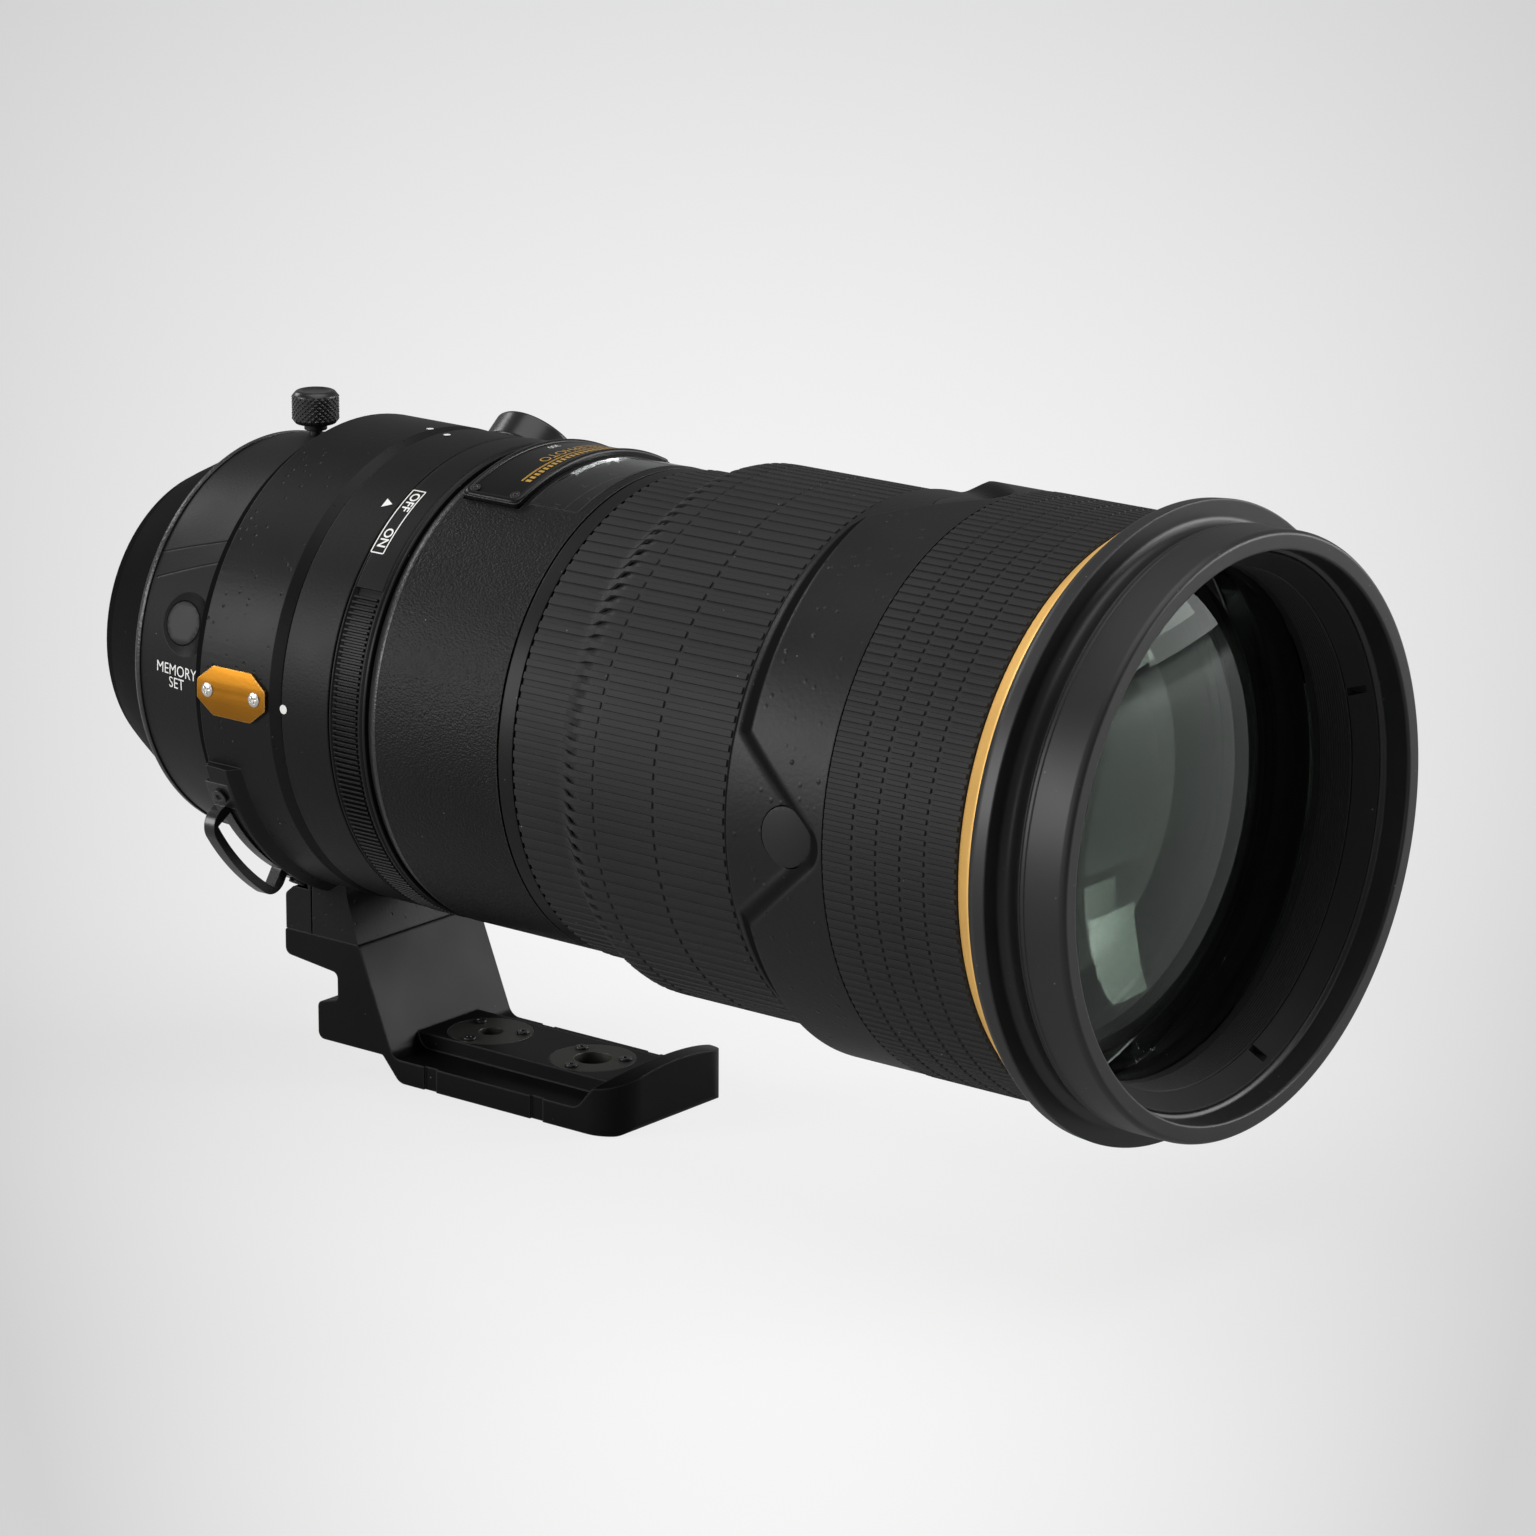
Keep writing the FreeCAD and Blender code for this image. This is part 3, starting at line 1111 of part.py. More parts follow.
def make_iris():
    ring_outer = lever_land_radius - running_gap
    ring_inner = lever_land_radius - lever_ring_width
    x_ring = lever_ring_rear
    rear_ring = tube(x_ring, x_ring + lever_ring_thickness, ring_inner, ring_outer)
    lever_inner = throat_radius - 2.6
    arm = sector(x_ring, x_ring + lever_ring_thickness, lever_inner, ring_inner + 1,
                 lever_angle - 5.0, 10.0)
    tab = sector(-3.5, x_ring + lever_ring_thickness / 2, lever_inner + 0.3,
                 lever_inner + 0.3 + lever_wall, lever_angle - 4.0, 8.0)
    rod_start = around(x_ring + 0.5, rod_radius, rod_angle)
    rod = Part.makeCylinder(rod_thickness, x_actuator + 1 - x_ring, rod_start, AXIS)
    actuator = tube(x_actuator, x_actuator + 1.8, iris_open_radius + 1.0,
                    rod_radius + rod_thickness + 0.6)
    nodes["aperture_ring"] = fused([rear_ring, arm, tab, rod, actuator])
    case_radius = chassis_bore - iris_flange_width
    case_bore = case_radius - iris_case_wall
    iris_bore = iris_open_radius + 1.0
    x_case_front = x_iris + iris_case_length
    x_inside_rear = x_iris + iris_case_wall
    x_inside_front = x_case_front - iris_case_wall
    flange_outer = chassis_bore - seat_gap
    nodes["iris_housing"] = turned([
        (x_iris, iris_bore), (x_iris, case_radius), (x_iris + 1.5, flange_outer),
        (x_iris + iris_case_length / 2, flange_outer), (x_iris + iris_case_length / 2, case_radius),
        (x_case_front, case_radius), (x_case_front, iris_bore), (x_inside_front, iris_bore),
        (x_inside_front, case_bore), (x_inside_rear, case_bore), (x_inside_rear, iris_bore)])
    blades = []
    blade_pitch = (x_inside_front - x_inside_rear - 4 * seat_gap) / iris_blade_count
    for index, angle in enumerate(spread(iris_blade_count)):
        x_blade = x_inside_rear + 2 * seat_gap + blade_pitch * index
        blades.append(sector(x_blade, x_blade + iris_blade_thickness, iris_bore + 2 * seat_gap,
                             case_bore - seat_gap, angle, iris_blade_angle))
    nodes["iris_blades"] = Part.makeCompound(blades)


# Stabiliser

board_width = 6.0


def make_stabiliser():
    x = x_stabiliser
    bore = 35.0
    nodes["stabiliser_housing"] = turned([
        (x, 28.0), (x, sleeve_bore - seat_gap), (x + 2.0, sleeve_bore - seat_gap),
        (x + 2.0, bore + 2.2), (x + 15.0, bore + 2.2), (x + 15.0, bore), (x + 2.4, bore),
        (x + 2.4, 28.0)])
    frame_rear = x + 2.4 + running_gap
    frame_front = frame_rear + 2.6
    frame = tube(frame_rear, frame_front, 26.5, bore - stabiliser_travel - 0.5)
    nodes["stabiliser_frame"] = frame
    cell_rear = frame_front + running_gap
    nodes["stabiliser_cell"] = turned([
        (cell_rear, stabiliser_element_radius + glass_gap), (cell_rear, 30.5),
        (cell_rear + 1.6, 30.5), (cell_rear + 1.6, 24.0), (cell_rear + 7.0, 24.0),
        (cell_rear + 7.0, stabiliser_element_radius - 1.4),
        (cell_rear + 6.0, stabiliser_element_radius - 1.4),
        (cell_rear + 6.0, stabiliser_element_radius + glass_gap)])
    nodes["stabiliser_element"] = lens_element(cell_rear + 1.2, cell_rear + 5.7,
                                               stabiliser_element_radius, -0.9, 0.9)
    board_rear = x - 1.5
    board_inner = sleeve_bore - board_width
    board = tube(board_rear, board_rear + 1.2, board_inner, sleeve_bore - seat_gap)
    chips = [sector(board_rear - 0.9, board_rear + 0.1, board_inner + 1.2, sleeve_bore - 1.4, angle, 9.0)
             for angle in spread(10)]
    nodes["main_board"] = fused([board] + chips)


# Inner barrel, motor, cam and focusing group

x_inner_rear = x_main_rear + 0.3
x_stator = x_main_rear + 6.0
stator_length = 6.0
rotor_length = 3.7
x_rotor = x_stator + stator_length + 0.2
x_cam_rear = x_rotor + rotor_length
x_cam_front = x_focus_front - 1.5
cam_bore = inner_barrel_radius + turning_gap
cam_radius = cam_bore + cam_wall
x_follower = x_focus_rear + 31.5
key_end_gap = 0.3


def follower_angles():
    return spread(follower_count, TOP)


def make_inner_barrel():
    front_flange_outer = recess_radius - casing_wall - seat_gap
    x_front_flange = x_grip_rear - 1.8
    barrel = turned([
        (x_inner_rear, inner_bore), (x_inner_rear, inner_barrel_radius),
        (x_front_flange, inner_barrel_radius), (x_front_flange, front_flange_outer),
        (x_front_flange + 1.8, front_flange_outer), (x_front_flange + 1.8, inner_bore)])
    tools = []
    reach = follower_radius + key_end_gap
    for angle in follower_angles():
        for x in (x_follower, x_follower - focus_travel):
            tools.append(peg(x, angle, reach, inner_bore - 2, inner_barrel_radius + 2))
        side = math.degrees(reach / inner_barrel_radius)
        tools.append(sector(x_follower - focus_travel, x_follower, inner_bore - 2,
                            inner_barrel_radius + 2, angle - side, 2 * side))
    nodes["inner_barrel"] = cut(barrel, tools)


def make_drive():
    motor_outer = inner_barrel_radius + motor_thickness
    nodes["motor_stator"] = tube(x_stator, x_stator + stator_length,
                                 inner_barrel_radius + running_gap, motor_outer, 0.5)
    nodes["motor_rotor"] = tube(x_rotor, x_rotor + rotor_length, cam_bore, motor_outer, 0.5)
    cam = tube(x_cam_rear, x_cam_front, cam_bore, cam_radius)
    slot_radius = follower_radius + 0.35
    steps = 30
    pegs = []
    for angle in follower_angles():
        for step in range(steps + 1):
            share = step / steps
            pegs.append(peg(x_follower - focus_travel * share, angle - cam_turn * share,
                            slot_radius, cam_bore - 2, cam_radius + 2))
    nodes["cam_sleeve"] = cam.cut(pegs[0].multiFuse(pegs[1:]))
    x_drum_front = x_main_front - 1.8
    x_drum_rear = x_plate_front - 1.0
    nodes["distance_scale"] = turned([
        (x_drum_rear, scale_radius - 1.0), (x_drum_rear, scale_radius),
        (x_drum_front, scale_radius), (x_drum_front, cam_radius + running_gap),
        (x_drum_front - 1.8, cam_radius + running_gap), (x_drum_front - 1.8, scale_radius - 1.0)])
    # Focusing group with its followers
    cell_outer = inner_bore - running_gap
    half = 6.0
    cell = turned([
        (x_follower - half, focus_element_radius - 2.0), (x_follower - half, cell_outer),
        (x_follower + half, cell_outer), (x_follower + half, focus_element_radius + glass_gap),
        (x_follower - half + 2.0, focus_element_radius + glass_gap),
        (x_follower - half + 2.0, focus_element_radius - 2.0)])
    followers = [peg(x_follower, angle, follower_radius, cell_outer - 1.5, cam_radius - 0.2)
                 for angle in follower_angles()]
    nodes["focus_cell"] = fused([cell] + followers)
    nodes["focus_element"] = lens_element(x_follower - half + 2.4, x_follower + half - 3.0,
                                          focus_element_radius, -2.2, 1.4)


make_mount()
make_rear_barrel()
make_drawer()
make_collar()
make_foot()
make_index_and_switch()
make_main_barrel()
make_focus_ring()
make_front_barrel()
make_front()
make_fixed_optics()
make_iris()
make_stabiliser()
make_inner_barrel()
make_drive()

os.makedirs("parts", exist_ok=True)
for name, shape in nodes.items():
    solids = shape.Solids
    if not shape.isValid() or not solids:
        print("check this node:", name)
    shape.exportStep("parts/" + name + ".step")
print(len(nodes), "nodes, overall length", round(x_front + bayonet_depth, 2))
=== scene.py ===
# %% [markdown]
# # A telephoto lens, piece by piece
# A telephoto lens is a stack of tubes on one line, the optical axis. Here the axis is X: the camera
# end is at 0 and the front glass looks towards +X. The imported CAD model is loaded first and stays
# where it is. Every piece below is built on its measures, in metres, and rides on one of its bodies.
# %% Load the frame
import bpy
import bmesh
import json
import math
from mathutils import Matrix, Vector


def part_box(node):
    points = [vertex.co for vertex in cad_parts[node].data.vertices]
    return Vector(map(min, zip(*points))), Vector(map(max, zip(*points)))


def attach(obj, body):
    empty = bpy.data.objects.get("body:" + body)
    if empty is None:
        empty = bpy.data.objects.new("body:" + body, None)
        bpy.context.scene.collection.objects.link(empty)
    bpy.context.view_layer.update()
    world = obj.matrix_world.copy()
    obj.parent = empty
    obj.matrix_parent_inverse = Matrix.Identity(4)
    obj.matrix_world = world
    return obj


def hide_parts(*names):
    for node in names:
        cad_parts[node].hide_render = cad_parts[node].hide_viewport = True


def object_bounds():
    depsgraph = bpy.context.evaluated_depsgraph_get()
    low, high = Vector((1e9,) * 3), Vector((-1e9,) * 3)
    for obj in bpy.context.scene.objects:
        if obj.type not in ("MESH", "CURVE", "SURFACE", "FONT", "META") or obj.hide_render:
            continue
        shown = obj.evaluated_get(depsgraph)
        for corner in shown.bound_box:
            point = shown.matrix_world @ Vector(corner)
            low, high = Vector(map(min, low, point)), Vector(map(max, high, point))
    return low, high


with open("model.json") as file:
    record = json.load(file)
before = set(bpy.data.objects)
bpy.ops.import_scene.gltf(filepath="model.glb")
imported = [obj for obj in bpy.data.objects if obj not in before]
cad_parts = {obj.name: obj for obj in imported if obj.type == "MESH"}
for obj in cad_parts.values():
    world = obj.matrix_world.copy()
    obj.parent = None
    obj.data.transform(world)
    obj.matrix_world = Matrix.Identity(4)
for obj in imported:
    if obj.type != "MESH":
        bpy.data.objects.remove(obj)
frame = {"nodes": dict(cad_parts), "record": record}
cad_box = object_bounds()
nodes = frame["nodes"]
bodies = frame["record"]["behaviour"]["bodies"]
body_of = {node: body for body, group in bodies.items() for node in group}
bpy.context.scene.view_settings.view_transform = "Standard"
MM = 0.001

# %% [markdown]
# ## Where the picture is taken from
# The photograph is a product shot with a long lens from in front, a little above. A long focal length
# keeps the tubes nearly parallel, so the camera stands about 1.3 m away. Its place and its three
# directions are written as numbers, because they were worked out from the circles of the lens in the
# photograph, and a camera that is only aimed at a target can't be rolled.
# %% Camera
camera_data = bpy.data.cameras.new("studio camera")
camera_data.lens = 145.68
camera_data.sensor_width = 36.0
camera_data.sensor_fit = "HORIZONTAL"
camera = bpy.data.objects.new("studio camera", camera_data)
camera_place = Vector((0.89377, -0.92377, 0.32345))
right = Vector((0.77913, 0.62684, 0.00458))
down = Vector((0.17174, -0.20643, -0.96327))
forward = Vector((-0.60288, 0.75130, -0.26849))
turn = Matrix((right, -down, -forward)).transposed().to_4x4()
camera.matrix_world = Matrix.Translation(camera_place) @ turn
bpy.context.scene.collection.objects.link(camera)
bpy.context.scene.camera = camera
print("camera distance", round(camera_place.length, 2), "m")

# %% [markdown]
# ## Soft light
# Black plastic shows little of its own colour: what the eye reads is the light that slides over it.
# A wide softbox hangs above the lens. The one at the left draws the long soft streak on the tubes, and
# two at the right give the pale patches in the front glass. A small one behind the lens draws thin
# light lines on the bevels that face it, and a weak one beside the camera opens the shadows.
# %% Softboxes
LENS_MIDDLE = Vector((0.13, 0.0, 0.0))
lamps = (("top softbox", (0.25, 0.00, 1.30), (1.3, 1.3), 14.0),
         ("left softbox", (-0.80, -1.12, 0.36), (0.75, 0.60), 15.0),
         ("right softbox", (1.05, 0.95, 0.42), (0.5, 0.6), 11.0),
         ("low right softbox", (0.75, 1.15, 0.14), (0.9, 0.35), 4.0),
         ("rear softbox", (-1.25, 0.02, 0.75), (0.5, 0.5), 5.0),
         ("front fill", (0.42, -1.45, 0.30), (0.6, 0.6), 3.0))
for name, place, size, watts in lamps:
    data = bpy.data.lights.new(name, "AREA")
    data.shape = "RECTANGLE"
    data.size, data.size_y = size
    data.energy = watts
    lamp = bpy.data.objects.new(name, data)
    aim = (LENS_MIDDLE - Vector(place)).to_track_quat("-Z", "Y")
    lamp.matrix_world = Matrix.Translation(place) @ aim.to_matrix().to_4x4()
    bpy.context.scene.collection.objects.link(lamp)
print("lamps:", len(lamps))

# %% [markdown]
# ## The room and the floor
# The room is one even pale grey. The floor is a wide sheet of paper. The camera sees its white
# straight; gloss and glass show only a small share of it, so that the black paint stays black and the
# shadow below the foot stays faint. The white fades towards the edges of the picture as painted shade,
# as paper does where a softbox ends; the fade is worked out from where the camera stands.
# %% World and floor
FLOOR_REACH = 8.0
floor_height = cad_box[0][2] - 0.2 * MM
corners = [(x * FLOOR_REACH, y * FLOOR_REACH, floor_height)
           for x, y in ((-1, -1), (1, -1), (1, 1), (-1, 1))]
floor_mesh = bpy.data.meshes.new("floor")
floor_mesh.from_pydata(corners, [], [(0, 1, 2, 3)])
floor = bpy.data.objects.new("floor", floor_mesh)
bpy.context.scene.collection.objects.link(floor)


def fill(node, values):
    """Sets a node's inputs by label or number; a socket is linked, anything else is the value."""
    for label, value in values.items():
        if isinstance(value, bpy.types.NodeSocket):
            node.id_data.links.new(value, node.inputs[label])
        else:
            node.inputs[label].default_value = value
    return node


def add(tree, kind, values=None, **settings):
    """A node in a tree, with its settings and its inputs."""
    node = tree.nodes.new(kind)
    for key, value in settings.items():
        setattr(node, key, value)
    return fill(node, values or {})


def math_node(tree, operation, *values):
    """The result of a Math node; each input is a number or a socket."""
    return add(tree, "ShaderNodeMath", dict(enumerate(values)), operation=operation).outputs[0]


def straight_rays(tree, bounced):
    """1 where the camera looks straight at a surface, less where gloss or glass shows it, else 0."""
    seen = add(tree, "ShaderNodeLightPath").outputs
    shown = math_node(tree, "MAXIMUM", seen["Is Glossy Ray"], seen["Is Transmission Ray"])
    shown = math_node(tree, "MULTIPLY", shown, bounced)
    return math_node(tree, "MAXIMUM", seen["Is Camera Ray"], shown)


SEEN_ROOM, LIGHTING_ROOM = 0.62, 0.13
world = bpy.data.worlds.new("pale room")
bpy.context.scene.world = world
world.use_nodes = True
tree = world.node_tree
strength = math_node(tree, "MULTIPLY_ADD", straight_rays(tree, 0.25), SEEN_ROOM, LIGHTING_ROOM)
fill(tree.nodes["Background"], {"Color": (0.9, 0.9, 0.9, 1.0), "Strength": strength})


def new_material(name):
    """A material, its node tree and its Principled shader."""
    material = bpy.data.materials.new(name)
    material.use_nodes = True
    return material, material.node_tree, material.node_tree.nodes["Principled BSDF"]


# The paper's white, strongest below the lens and weaker towards the edges of the picture: a painted
# pool of light
paper, tree, shader = new_material("white paper")
fill(shader, {"Base Color": (0.5, 0.5, 0.5, 1.0), "Roughness": 0.9, "Specular IOR Level": 0.1})
spot = add(tree, "ShaderNodeTexCoord").outputs["Object"]
away = add(tree, "ShaderNodeVectorMath", {0: spot, 1: camera_place}, operation="SUBTRACT")


def measured(direction):
    """How far a floor point lies from the camera along one of its directions."""
    node = add(tree, "ShaderNodeVectorMath", {0: away.outputs["Vector"], 1: direction},
               operation="DOT_PRODUCT")
    return node.outputs["Value"]


# Sideways and downwards run from -1 to 1 over the picture; the white falls with their squares
SIDE_FALL, SIDE_TILT, FAR_FALL, FAR_START = 0.26, 0.5, 0.068, 0.4
WHITEST, DARKEST = 1.02, 0.66
half_view = 0.5 * camera_data.sensor_width / camera_data.lens
depth = math_node(tree, "MULTIPLY", math_node(tree, "MAXIMUM", measured(forward), 0.3), half_view)
sideways = math_node(tree, "DIVIDE", measured(right), depth)
downwards = math_node(tree, "DIVIDE", measured(down), depth)
side_drop = math_node(tree, "POWER", math_node(tree, "ABSOLUTE", sideways), 2.0)
side_drop = math_node(tree, "MULTIPLY", side_drop, SIDE_FALL)
tilt = math_node(tree, "MULTIPLY_ADD", downwards, SIDE_TILT, 1.0)
side_drop = math_node(tree, "MULTIPLY", side_drop, tilt)
far_drop = math_node(tree, "POWER", math_node(tree, "SUBTRACT", downwards, FAR_START), 2.0)
far_drop = math_node(tree, "MULTIPLY", far_drop, FAR_FALL)
white = math_node(tree, "SUBTRACT", WHITEST, math_node(tree, "ADD", side_drop, far_drop))
white = math_node(tree, "MAXIMUM", white, DARKEST)
glow = add(tree, "ShaderNodeEmission", {"Strength": white})
share = math_node(tree, "MULTIPLY", straight_rays(tree, 0.15), 0.8)
mixed = add(tree, "ShaderNodeMixShader", {
    "Fac": share, 1: shader.outputs["BSDF"], 2: glow.outputs["Emission"]})
fill(tree.nodes["Material Output"], {"Surface": mixed.outputs["Shader"]})
floor_mesh.materials.append(paper)
print("floor at", round(floor_height / MM, 1), "mm")

# %% [markdown]
# ## Effects that many finishes share
# The casing has a crinkled paint, the rubber is dull and a little dusty, and edges that hands touch
# turn slightly lighter. Each effect is a shader node group with its own inputs, built once. They read
# Object coordinates, so the grain has its real size and stays on the piece when it moves.
# %% Node groups for grain, edges, dust and smudges
def shader_group(name, inputs, outputs):
    """An empty shader group with its input and output nodes."""
    group = bpy.data.node_groups.new(name, "ShaderNodeTree")
    for label, value in inputs:
        socket = group.interface.new_socket(label, in_out="INPUT", socket_type="NodeSocketFloat")
        socket.default_value = value
    for label, kind in outputs:
        group.interface.new_socket(label, in_out="OUTPUT", socket_type=kind)
    return group, add(group, "NodeGroupInput"), add(group, "NodeGroupOutput")


def scaled_place(group, size, stretch=(1.0, 1.0, 1.0)):
    """Object coordinates counted in grains of a given size in metres."""
    place = add(group, "ShaderNodeTexCoord").outputs["Object"]
    shape = add(group, "ShaderNodeVectorMath", {0: place, 1: stretch}, operation="MULTIPLY")
    scale = add(group, "ShaderNodeVectorMath", {0: shape.outputs["Vector"]}, operation="SCALE")
    return fill(scale, {"Scale": math_node(group, "DIVIDE", 1.0, size)}).outputs["Vector"]


# Crinkle: soft bumps with small hollows between them
crinkle, enter, leave = shader_group("crinkle", [("Size", 0.0006), ("Pits", 0.5)],
                                     [("Height", "NodeSocketFloat")])
spot = scaled_place(crinkle, enter.outputs["Size"], (0.8, 1.0, 1.0))
cloud = add(crinkle, "ShaderNodeTexNoise", {"Scale": 1.0, "Detail": 2.0, "Vector": spot})
cells = add(crinkle, "ShaderNodeTexVoronoi", feature="SMOOTH_F1")
fill(cells, {"Scale": 0.8, "Vector": spot})
hollow = math_node(crinkle, "MULTIPLY", cells.outputs["Distance"], enter.outputs["Pits"])
fill(leave, {"Height": math_node(crinkle, "SUBTRACT", cloud.outputs["Fac"], hollow)})

# Spots: one small round spot in some of the cells, for dust, pits and pimples
spots, enter, leave = shader_group("spots", [("Size", 0.0018), ("Share", 0.1), ("Width", 0.16)],
                                   [("Mask", "NodeSocketFloat")])
spot = scaled_place(spots, enter.outputs["Size"])
scatter = add(spots, "ShaderNodeTexVoronoi", {"Scale": 1.0, "Vector": spot}, feature="F1")
lot = add(spots, "ShaderNodeSeparateColor", {"Color": scatter.outputs["Color"]})
near = add(spots, "ShaderNodeMapRange", interpolation_type="SMOOTHSTEP")
fill(near, {"To Min": 1.0, "To Max": 0.0, "Value": scatter.outputs["Distance"],
            "From Max": enter.outputs["Width"]})
chosen = math_node(spots, "LESS_THAN", lot.outputs["Red"], enter.outputs["Share"])
uneven = math_node(spots, "MULTIPLY_ADD", lot.outputs["Green"], 0.8, 0.2)
shown = math_node(spots, "MULTIPLY", near.outputs["Result"], chosen)
fill(leave, {"Mask": math_node(spots, "MULTIPLY", uneven, shown)})

# Edge wear: where a rounded normal leaves the flat one, there is an edge
edge_wear, enter, leave = shader_group("edge wear", [("Radius", 0.0003), ("Amount", 3.0)], [
    ("Mask", "NodeSocketFloat"), ("Round normal", "NodeSocketVector")])
round_edge = add(edge_wear, "ShaderNodeBevel", {"Radius": enter.outputs["Radius"]}, samples=4)
surface = add(edge_wear, "ShaderNodeNewGeometry")
normals = {0: round_edge.outputs["Normal"], 1: surface.outputs["Normal"]}
facing = add(edge_wear, "ShaderNodeVectorMath", normals, operation="DOT_PRODUCT")
corner = math_node(edge_wear, "SUBTRACT", 1.0, facing.outputs["Value"])
worn = math_node(edge_wear, "MULTIPLY", corner, enter.outputs["Amount"])
clipped = add(edge_wear, "ShaderNodeClamp", {"Value": worn})
fill(leave, {"Mask": clipped.outputs["Result"], "Round normal": round_edge.outputs["Normal"]})

# Smudge: slow changes that make one patch a little duller than the next
smudge, enter, leave = shader_group("smudge", [("Size", 0.02)], [("Value", "NodeSocketFloat")])
spot = scaled_place(smudge, enter.outputs["Size"])
slow = add(smudge, "ShaderNodeTexNoise", {"Scale": 1.0, "Detail": 3.0, "Vector": spot})
fill(leave, {"Value": slow.outputs["Fac"]})

# Rear facing: walls that look back towards the camera body; their gloss is taken away as painted shade,
# so that they stay dark
rear_facing, enter, leave = shader_group("rear facing", [("From", 0.12), ("To", 0.5)],
                                         [("Mask", "NodeSocketFloat")])
own_normal = add(rear_facing, "ShaderNodeTexCoord").outputs["Normal"]
parts = add(rear_facing, "ShaderNodeSeparateXYZ", {"Vector": own_normal})
ramp = add(rear_facing, "ShaderNodeMapRange", interpolation_type="SMOOTHSTEP")
fill(ramp, {"Value": math_node(rear_facing, "MULTIPLY", parts.outputs["X"], -1.0),
            "From Min": enter.outputs["From"], "From Max": enter.outputs["To"]})
fill(leave, {"Mask": ramp.outputs["Result"]})
print("shader groups:", [g.name for g in bpy.data.node_groups])

# %% [markdown]
# ## One recipe for painted, moulded and rubber surfaces
# Most finishes here differ only in numbers: how dark, how dull, how coarse the grain is, how much the
# edges are worn and how much dust lies on them. The recipe below places the shared groups in a new
# material with those numbers. The Principled shader itself stays in the material.
# %% Finish recipe
def use_group(tree, group, **values):
    """A shared group placed in a tree, with its numbers."""
    return fill(add(tree, "ShaderNodeGroup", node_tree=group), values)


def blend_colour(tree, share, first, second):
    """A colour between two, each a tuple or a socket."""
    first, second = ((*side, 1.0) if isinstance(side, tuple) else side for side in (first, second))
    node = add(tree, "ShaderNodeMix", data_type="RGBA")
    return fill(node, {"Factor": share, 6: first, 7: second}).outputs[2]


DUST = (0.30, 0.29, 0.27)


def finish(name, colour, roughness, grain=0.6, depth=0.02, pits=0.5, edge=0.3, wear=1.5,
           worn=0.09, dusty=0.05, mottle=0.25, metallic=0.0, specular=0.4, marks=None, rear_shade=0.0):
    """A surface from the shared groups. Lengths are in millimetres; marks are (size, share, height).

    A colour is red, green and blue, or one number for a grey. Rear shade takes the gloss from the walls
    that face the camera end: painted shade that keeps them dark."""
    colour, worn = (side if isinstance(side, tuple) else (side,) * 3 for side in (colour, worn))
    material, tree, shader = new_material(name)
    fill(shader, {"Metallic": metallic, "Specular IOR Level": specular})
    if rear_shade:
        # Painted shade: the walls that face the camera end lose their gloss and stay dark
        wall = use_group(tree, rear_facing).outputs["Mask"]
        gloss = math_node(tree, "MULTIPLY_ADD", wall, -specular * rear_shade, specular)
        fill(shader, {"Specular IOR Level": gloss})
    patch = use_group(tree, smudge, Size=0.018).outputs["Value"]
    edges = use_group(tree, edge_wear, Radius=edge * MM, Amount=wear)
    specks = use_group(tree, spots, Size=0.0016, Share=dusty, Width=0.12).outputs["Mask"]
    darker, lighter = (tuple(c * (1.0 + step) for c in colour) for step in (-mottle, mottle))
    shade = blend_colour(tree, patch, darker, lighter)
    shade = blend_colour(tree, edges.outputs["Mask"], shade, worn)
    shade = blend_colour(tree, specks, shade, DUST)
    dull = add(tree, "ShaderNodeMapRange", {
        "To Min": roughness - 0.07, "To Max": roughness + 0.07, "Value": patch})
    bumps = use_group(tree, crinkle, Size=grain * MM, Pits=pits)
    height = math_node(tree, "MULTIPLY", bumps.outputs["Height"], depth)
    if marks:
        size, share, rise = marks
        mark = use_group(tree, spots, Size=size * MM, Share=share, Width=0.3).outputs["Mask"]
        height = math_node(tree, "ADD", height, math_node(tree, "MULTIPLY", mark, rise))
    relief = add(tree, "ShaderNodeBump", {"Strength": 1.0, "Distance": MM, "Height": height,
                                          "Normal": edges.outputs["Round normal"]})
    fill(shader, {"Base Color": shade, "Roughness": dull.outputs["Result"],
                  "Normal": relief.outputs["Normal"]})
    return material


casing_paint = finish("casing paint", 0.0055, 0.45, grain=0.5, depth=0.03, wear=1.0, specular=0.12,
                      rear_shade=1.0)
barrel_paint = finish("barrel paint", 0.0055, 0.42, grain=0.4, depth=0.15, wear=2.0,
                      worn=(0.16, 0.16, 0.15), specular=0.12)
collar_paint = finish("collar paint", 0.0055, 0.42, grain=0.6, depth=0.02, wear=1.3, worn=0.10,
                      marks=(1.6, 0.4, -0.16), specular=0.12, rear_shade=1.0)
foot_paint = finish("foot paint", 0.004, 0.40, grain=0.45, depth=0.006, edge=0.6, wear=1.5,
                    specular=0.08, rear_shade=1.0)
front_paint = finish("front paint", 0.007, 0.44, grain=0.8, depth=0.03, wear=0.8,
                     marks=(2.2, 0.5, 0.16), specular=0.18, rear_shade=1.0)
hood_paint = finish("hood seat paint", (0.012, 0.012, 0.0125), 0.42, grain=0.5, depth=0.006, dusty=0.16,
                    wear=0.7, specular=0.3)
rubber = finish("grip rubber", 0.014, 0.60, grain=0.35, depth=0.010, edge=0.1, wear=0.5, worn=0.05,
                dusty=0.06, specular=0.2)
ring_plastic = finish("ring plastic", 0.005, 0.42, grain=0.4, depth=0.01, edge=0.12, wear=1.2,
                      specular=0.14)
button_rubber = finish("button rubber", 0.010, 0.50, grain=0.5, depth=0.006, wear=0.3, specular=0.2)
knob_black = finish("black metal", 0.008, 0.28, grain=0.3, depth=0.003, wear=1.4, worn=0.16)
inner_black = finish("matt inner black", 0.006, 0.7, grain=0.3, depth=0.003, dusty=0.02, specular=0.2)
